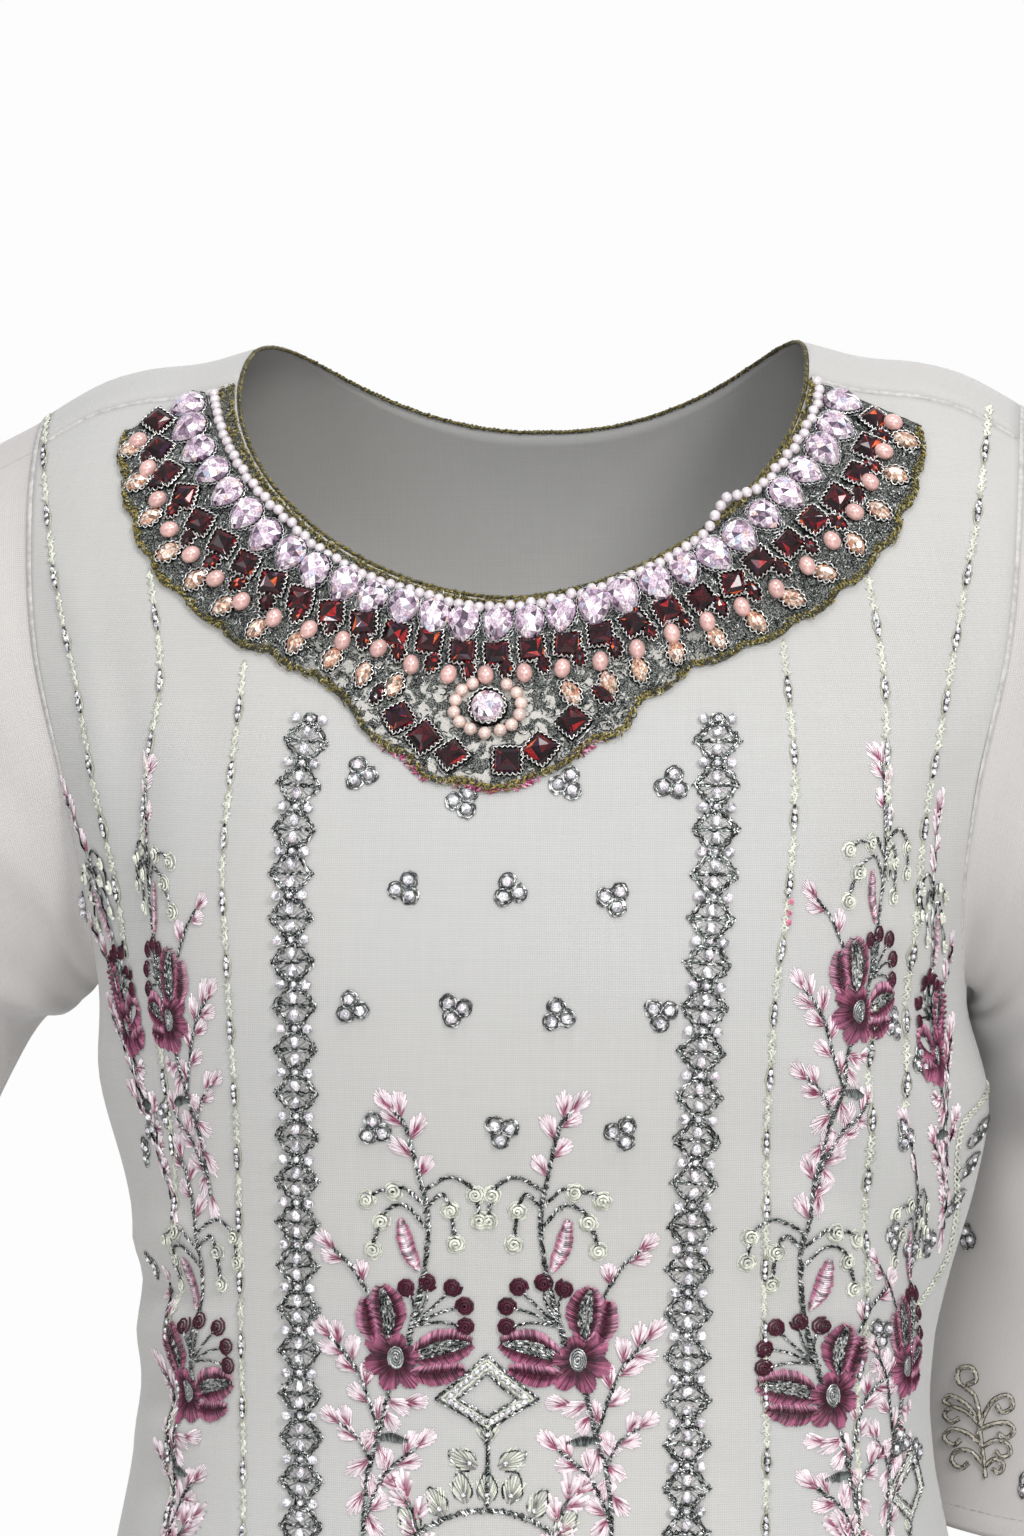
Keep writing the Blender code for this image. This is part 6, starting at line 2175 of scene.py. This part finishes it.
SEAM_WIDTH = 0.0022
SEAM_TINT = np.array([0.50, 0.493, 0.478])
STITCH_LONG = 0.0024
STITCH_PITCH = 0.0032
STITCH_LIFT = 0.0001
HEM_SHARE = 0.985
SLIT_SHARE = 0.965
SLEEVE_HEM_ROWS = 5
STITCHED = thread_material("seam_thread", roughness=0.75, sheen=0.2)


def cut_even(point, spacing):
    """Numbers of a path's points about every so far along it."""
    arc = arc_along(point, 0)
    return np.interp(np.arange(0.0, arc[-1], spacing), arc, np.arange(len(point)))


def at_numbers(values, numbers):
    low = np.clip(numbers.astype(int), 0, len(values) - 2)
    part = (numbers - low)[..., None]
    return values[low] * (1.0 - part) + values[low + 1] * part


def ridge(work, point, normal):
    numbers = cut_even(point, 0.0040)
    path, facing = at_numbers(point, numbers), unit(at_numbers(normal, numbers))
    tint = SEAM_TINT * rng.uniform(0.90, 1.06, (1, len(path), 1))
    tubes(work, (path + facing * 0.0001)[None], facing[None], SEAM_WIDTH / 2, tint, sides=5, flat=0.26)


def stitches(work, point, normal):
    """Row of running stitches along a path."""
    numbers = cut_even(point, STITCH_PITCH)[:-1]
    step = numbers[1] - numbers[0]
    ends = numbers[:, None] + step * STITCH_LONG / STITCH_PITCH * np.linspace(0.0, 1.0, 3)[None]
    path, facing = at_numbers(point, ends), unit(at_numbers(normal, ends))
    lift = np.array([0.0, 0.00016, 0.0])[None, :, None]
    tint = SEAM_TINT * rng.uniform(0.62, 0.86, (len(path), 1, 1))
    tubes(work, path + facing * lift, facing, 0.00022, tint)


def build_seams(sleeves):
    joins, rows = Work(), Work()
    mirror = np.array([-1.0, 1.0, 1.0])
    hole, facing = armhole(2 * ARMHOLE_ROWS - 2)
    top = np.linspace(NECK_HALF_WIDTH + 0.001, shoulder_tip() - 0.0005, 40)
    seam_share, seam_level = seam_place(top, -1)
    side = np.linspace(UNDERARM - 0.001, SLIT_TOP + 0.002, 120)
    hem = np.linspace(-HEM_SHARE, HEM_SHARE, 400)
    hem_level = np.full(len(hem), HEM + HEM_DEPTH - 0.0015)
    slit = np.linspace(SLIT_TOP, HEM + HEM_DEPTH, 160)
    for hand in (1, -1):
        flip = mirror if hand < 0 else np.ones(3)
        ridge(joins, hole * flip, facing * flip)
        ridge(joins, *kameez(hand * seam_share, seam_level, -1))
        point, normal = form_point(hand * 1.0, side, -1), form_normal(hand * 0.999, side, -1)
        point[:, 1] = 0.0
        normal = unit(normal * np.array([1.0, 0.0, 1.0]))
        ridge(joins, point, normal)
    for side in (-1, 1):
        stitches(rows, *kameez(hem, hem_level, side, STITCH_LIFT))
        for hand in (1, -1):
            stitches(rows, *kameez(np.full(len(slit), hand * SLIT_SHARE), slit, side, STITCH_LIFT))
    for points, normals in sleeves:
        ring = len(points) - SLEEVE_HEM_ROWS
        point = np.vstack([points[ring], points[ring, :1]])
        stitches(rows, point, np.vstack([normals[ring], normals[ring, :1]]))
    joins.build("garment_seams", STITCHED, "kameez_cloth")
    rows.build("hem_stitches", STITCHED, "kameez_cloth")


def build_embroidery():
    satin, metal, beads = Work(), Work(), Work()
    build_borders(beads)
    build_chains(satin, metal, beads)
    for x, z, squeeze in TREFOILS:
        Motif((satin, metal, beads), x * MM, z * MM, squeeze=squeeze).trefoil(rng.uniform(0.0, 2.0))
    side_trim((satin, metal, beads))
    satin.build("front_chain_thread", SATIN, "thread")
    metal.build("front_chain_metal", ZARI, "zari")

    middle = [Work(), Work(), beads]
    for k in range(MIDDLE_SPRAYS):
        z = MIDDLE_SPRAY_TOP - k * SPRAY_PITCH
        spray(Motif(middle, MIDDLE_SPRAY_RIGHT, z, 1))
        spray(Motif(middle, MIDDLE_SPRAY_LEFT, z, -1))
        lozenge(Motif(middle, LOZENGE_X, z - LOZENGE_DROP))
    sides = [Work(), Work(), beads]
    for each in SPRAYS:
        spray(Motif(sides, *each))
    lozenge(Motif(sides, *SIDE_LOZENGE, squeeze=(0.45, 0.20)))
    for k in range(1, SIDE_SPRAYS + 1):
        for side in (-1, 1):
            z = SIDE_SPRAY_TOP - k * SPRAY_PITCH
            spray(Motif(sides, side * SIDE_SPRAY_OUT, z, side if k % 2 else -side))
    for name, works in (("middle", middle), ("side", sides)):
        works[0].build(f"{name}_spray_thread", SATIN, "thread")
        works[1].build(f"{name}_spray_metal", ZARI, "zari")
    beads.build("front_beads", BEAD, "clear_bead")


# Garment

KAMEEZ = weave_material("kameez_weave", (0.44, 0.433, 0.418), (0.56, 0.553, 0.538))
# The sleeve weave is pinker than the kameez weave and a little lighter: the extra lightness is painted light
# that lifts the shade between sleeve and body.
SLEEVE_WEAVE_LIGHTENED = weave_material("sleeve_weave_lightened", (0.455, 0.436, 0.423), (0.580, 0.556, 0.541))
SALWAR = weave_material("salwar_weave", (0.43, 0.42, 0.40), (0.56, 0.548, 0.525), pitch=0.0009)


def build_garment():
    front = build_panel("kameez_front_cloth", -1)
    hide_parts("kameez_front")
    back = build_panel("kameez_back_cloth", 1)
    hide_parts("kameez_back")
    slack = SLEEVE_CREASES + (UNDERARM_SLACK,)
    left, *left_sleeve = build_sleeve("sleeve_left_cloth", SLEEVE_LEFT, 1, slack)
    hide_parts("sleeve_left")
    right, *right_sleeve = build_sleeve("sleeve_right_cloth", SLEEVE_RIGHT, -1, SLEEVE_CREASES)
    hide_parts("sleeve_right")
    for name, hand in (("left", 1), ("right", -1)):
        leg = build_leg(f"salwar_leg_{name}_cloth", hand)
        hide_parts(f"salwar_leg_{name}")

        def cuff_outline(share, hand=hand):
            turn = np.linspace(0.0, 2 * np.pi, CUFF_COLUMNS, endpoint=False)
            top = LEG[0]
            return hand * (top.out + top.half_width * np.sin(turn)), top.deep - top.half_depth * np.cos(turn)

        def cuff_relief(share, way):
            rows = 0.0005 * np.exp(-((share * 5.0 - np.round(share * 5.0)) / 0.10) ** 2)
            return -rows + 0.0002 * np.sin(2 * np.pi * way * 9)

        heights = np.linspace(CUFF_BOTTOM, CUFF_TOP - SEAM, CUFF_ROWS)
        cuff = build_ring(f"salwar_cuff_{name}_cloth", cuff_outline, heights, cuff_relief)
        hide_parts(f"salwar_cuff_{name}")

    def belt_outline(share):
        turn = np.linspace(0.0, 2 * np.pi, BELT_COLUMNS, endpoint=False)
        grow = BELT_FLARE * (1.0 - share)
        depth = np.where(np.cos(turn) > 0, BELT_FRONT, BELT_BACK) + grow
        return (BELT_HALF_WIDTH + grow) * np.sin(turn), -depth * np.cos(turn)

    def belt_relief(share, way):
        gathers = 0.0009 * np.sin(2 * np.pi * way * 34 + 1.5 * np.sin(2 * np.pi * way * 5))
        return gathers * (0.35 + 0.65 * smooth_step((0.75 - share) / 0.3)) - 0.0010

    heights = np.linspace(BELT_BOTTOM, BELT_TOP, BELT_ROWS)
    belt = build_ring("salwar_belt_cloth", belt_outline, heights, belt_relief)
    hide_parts("salwar_belt")
    return left_sleeve, right_sleeve


SLEEVE_SURFACES = build_garment()
build_neck_patch()
build_piping()
build_embroidery()
build_sleeve_work(on_tube(*SLEEVE_SURFACES[0]))
build_seams(SLEEVE_SURFACES)
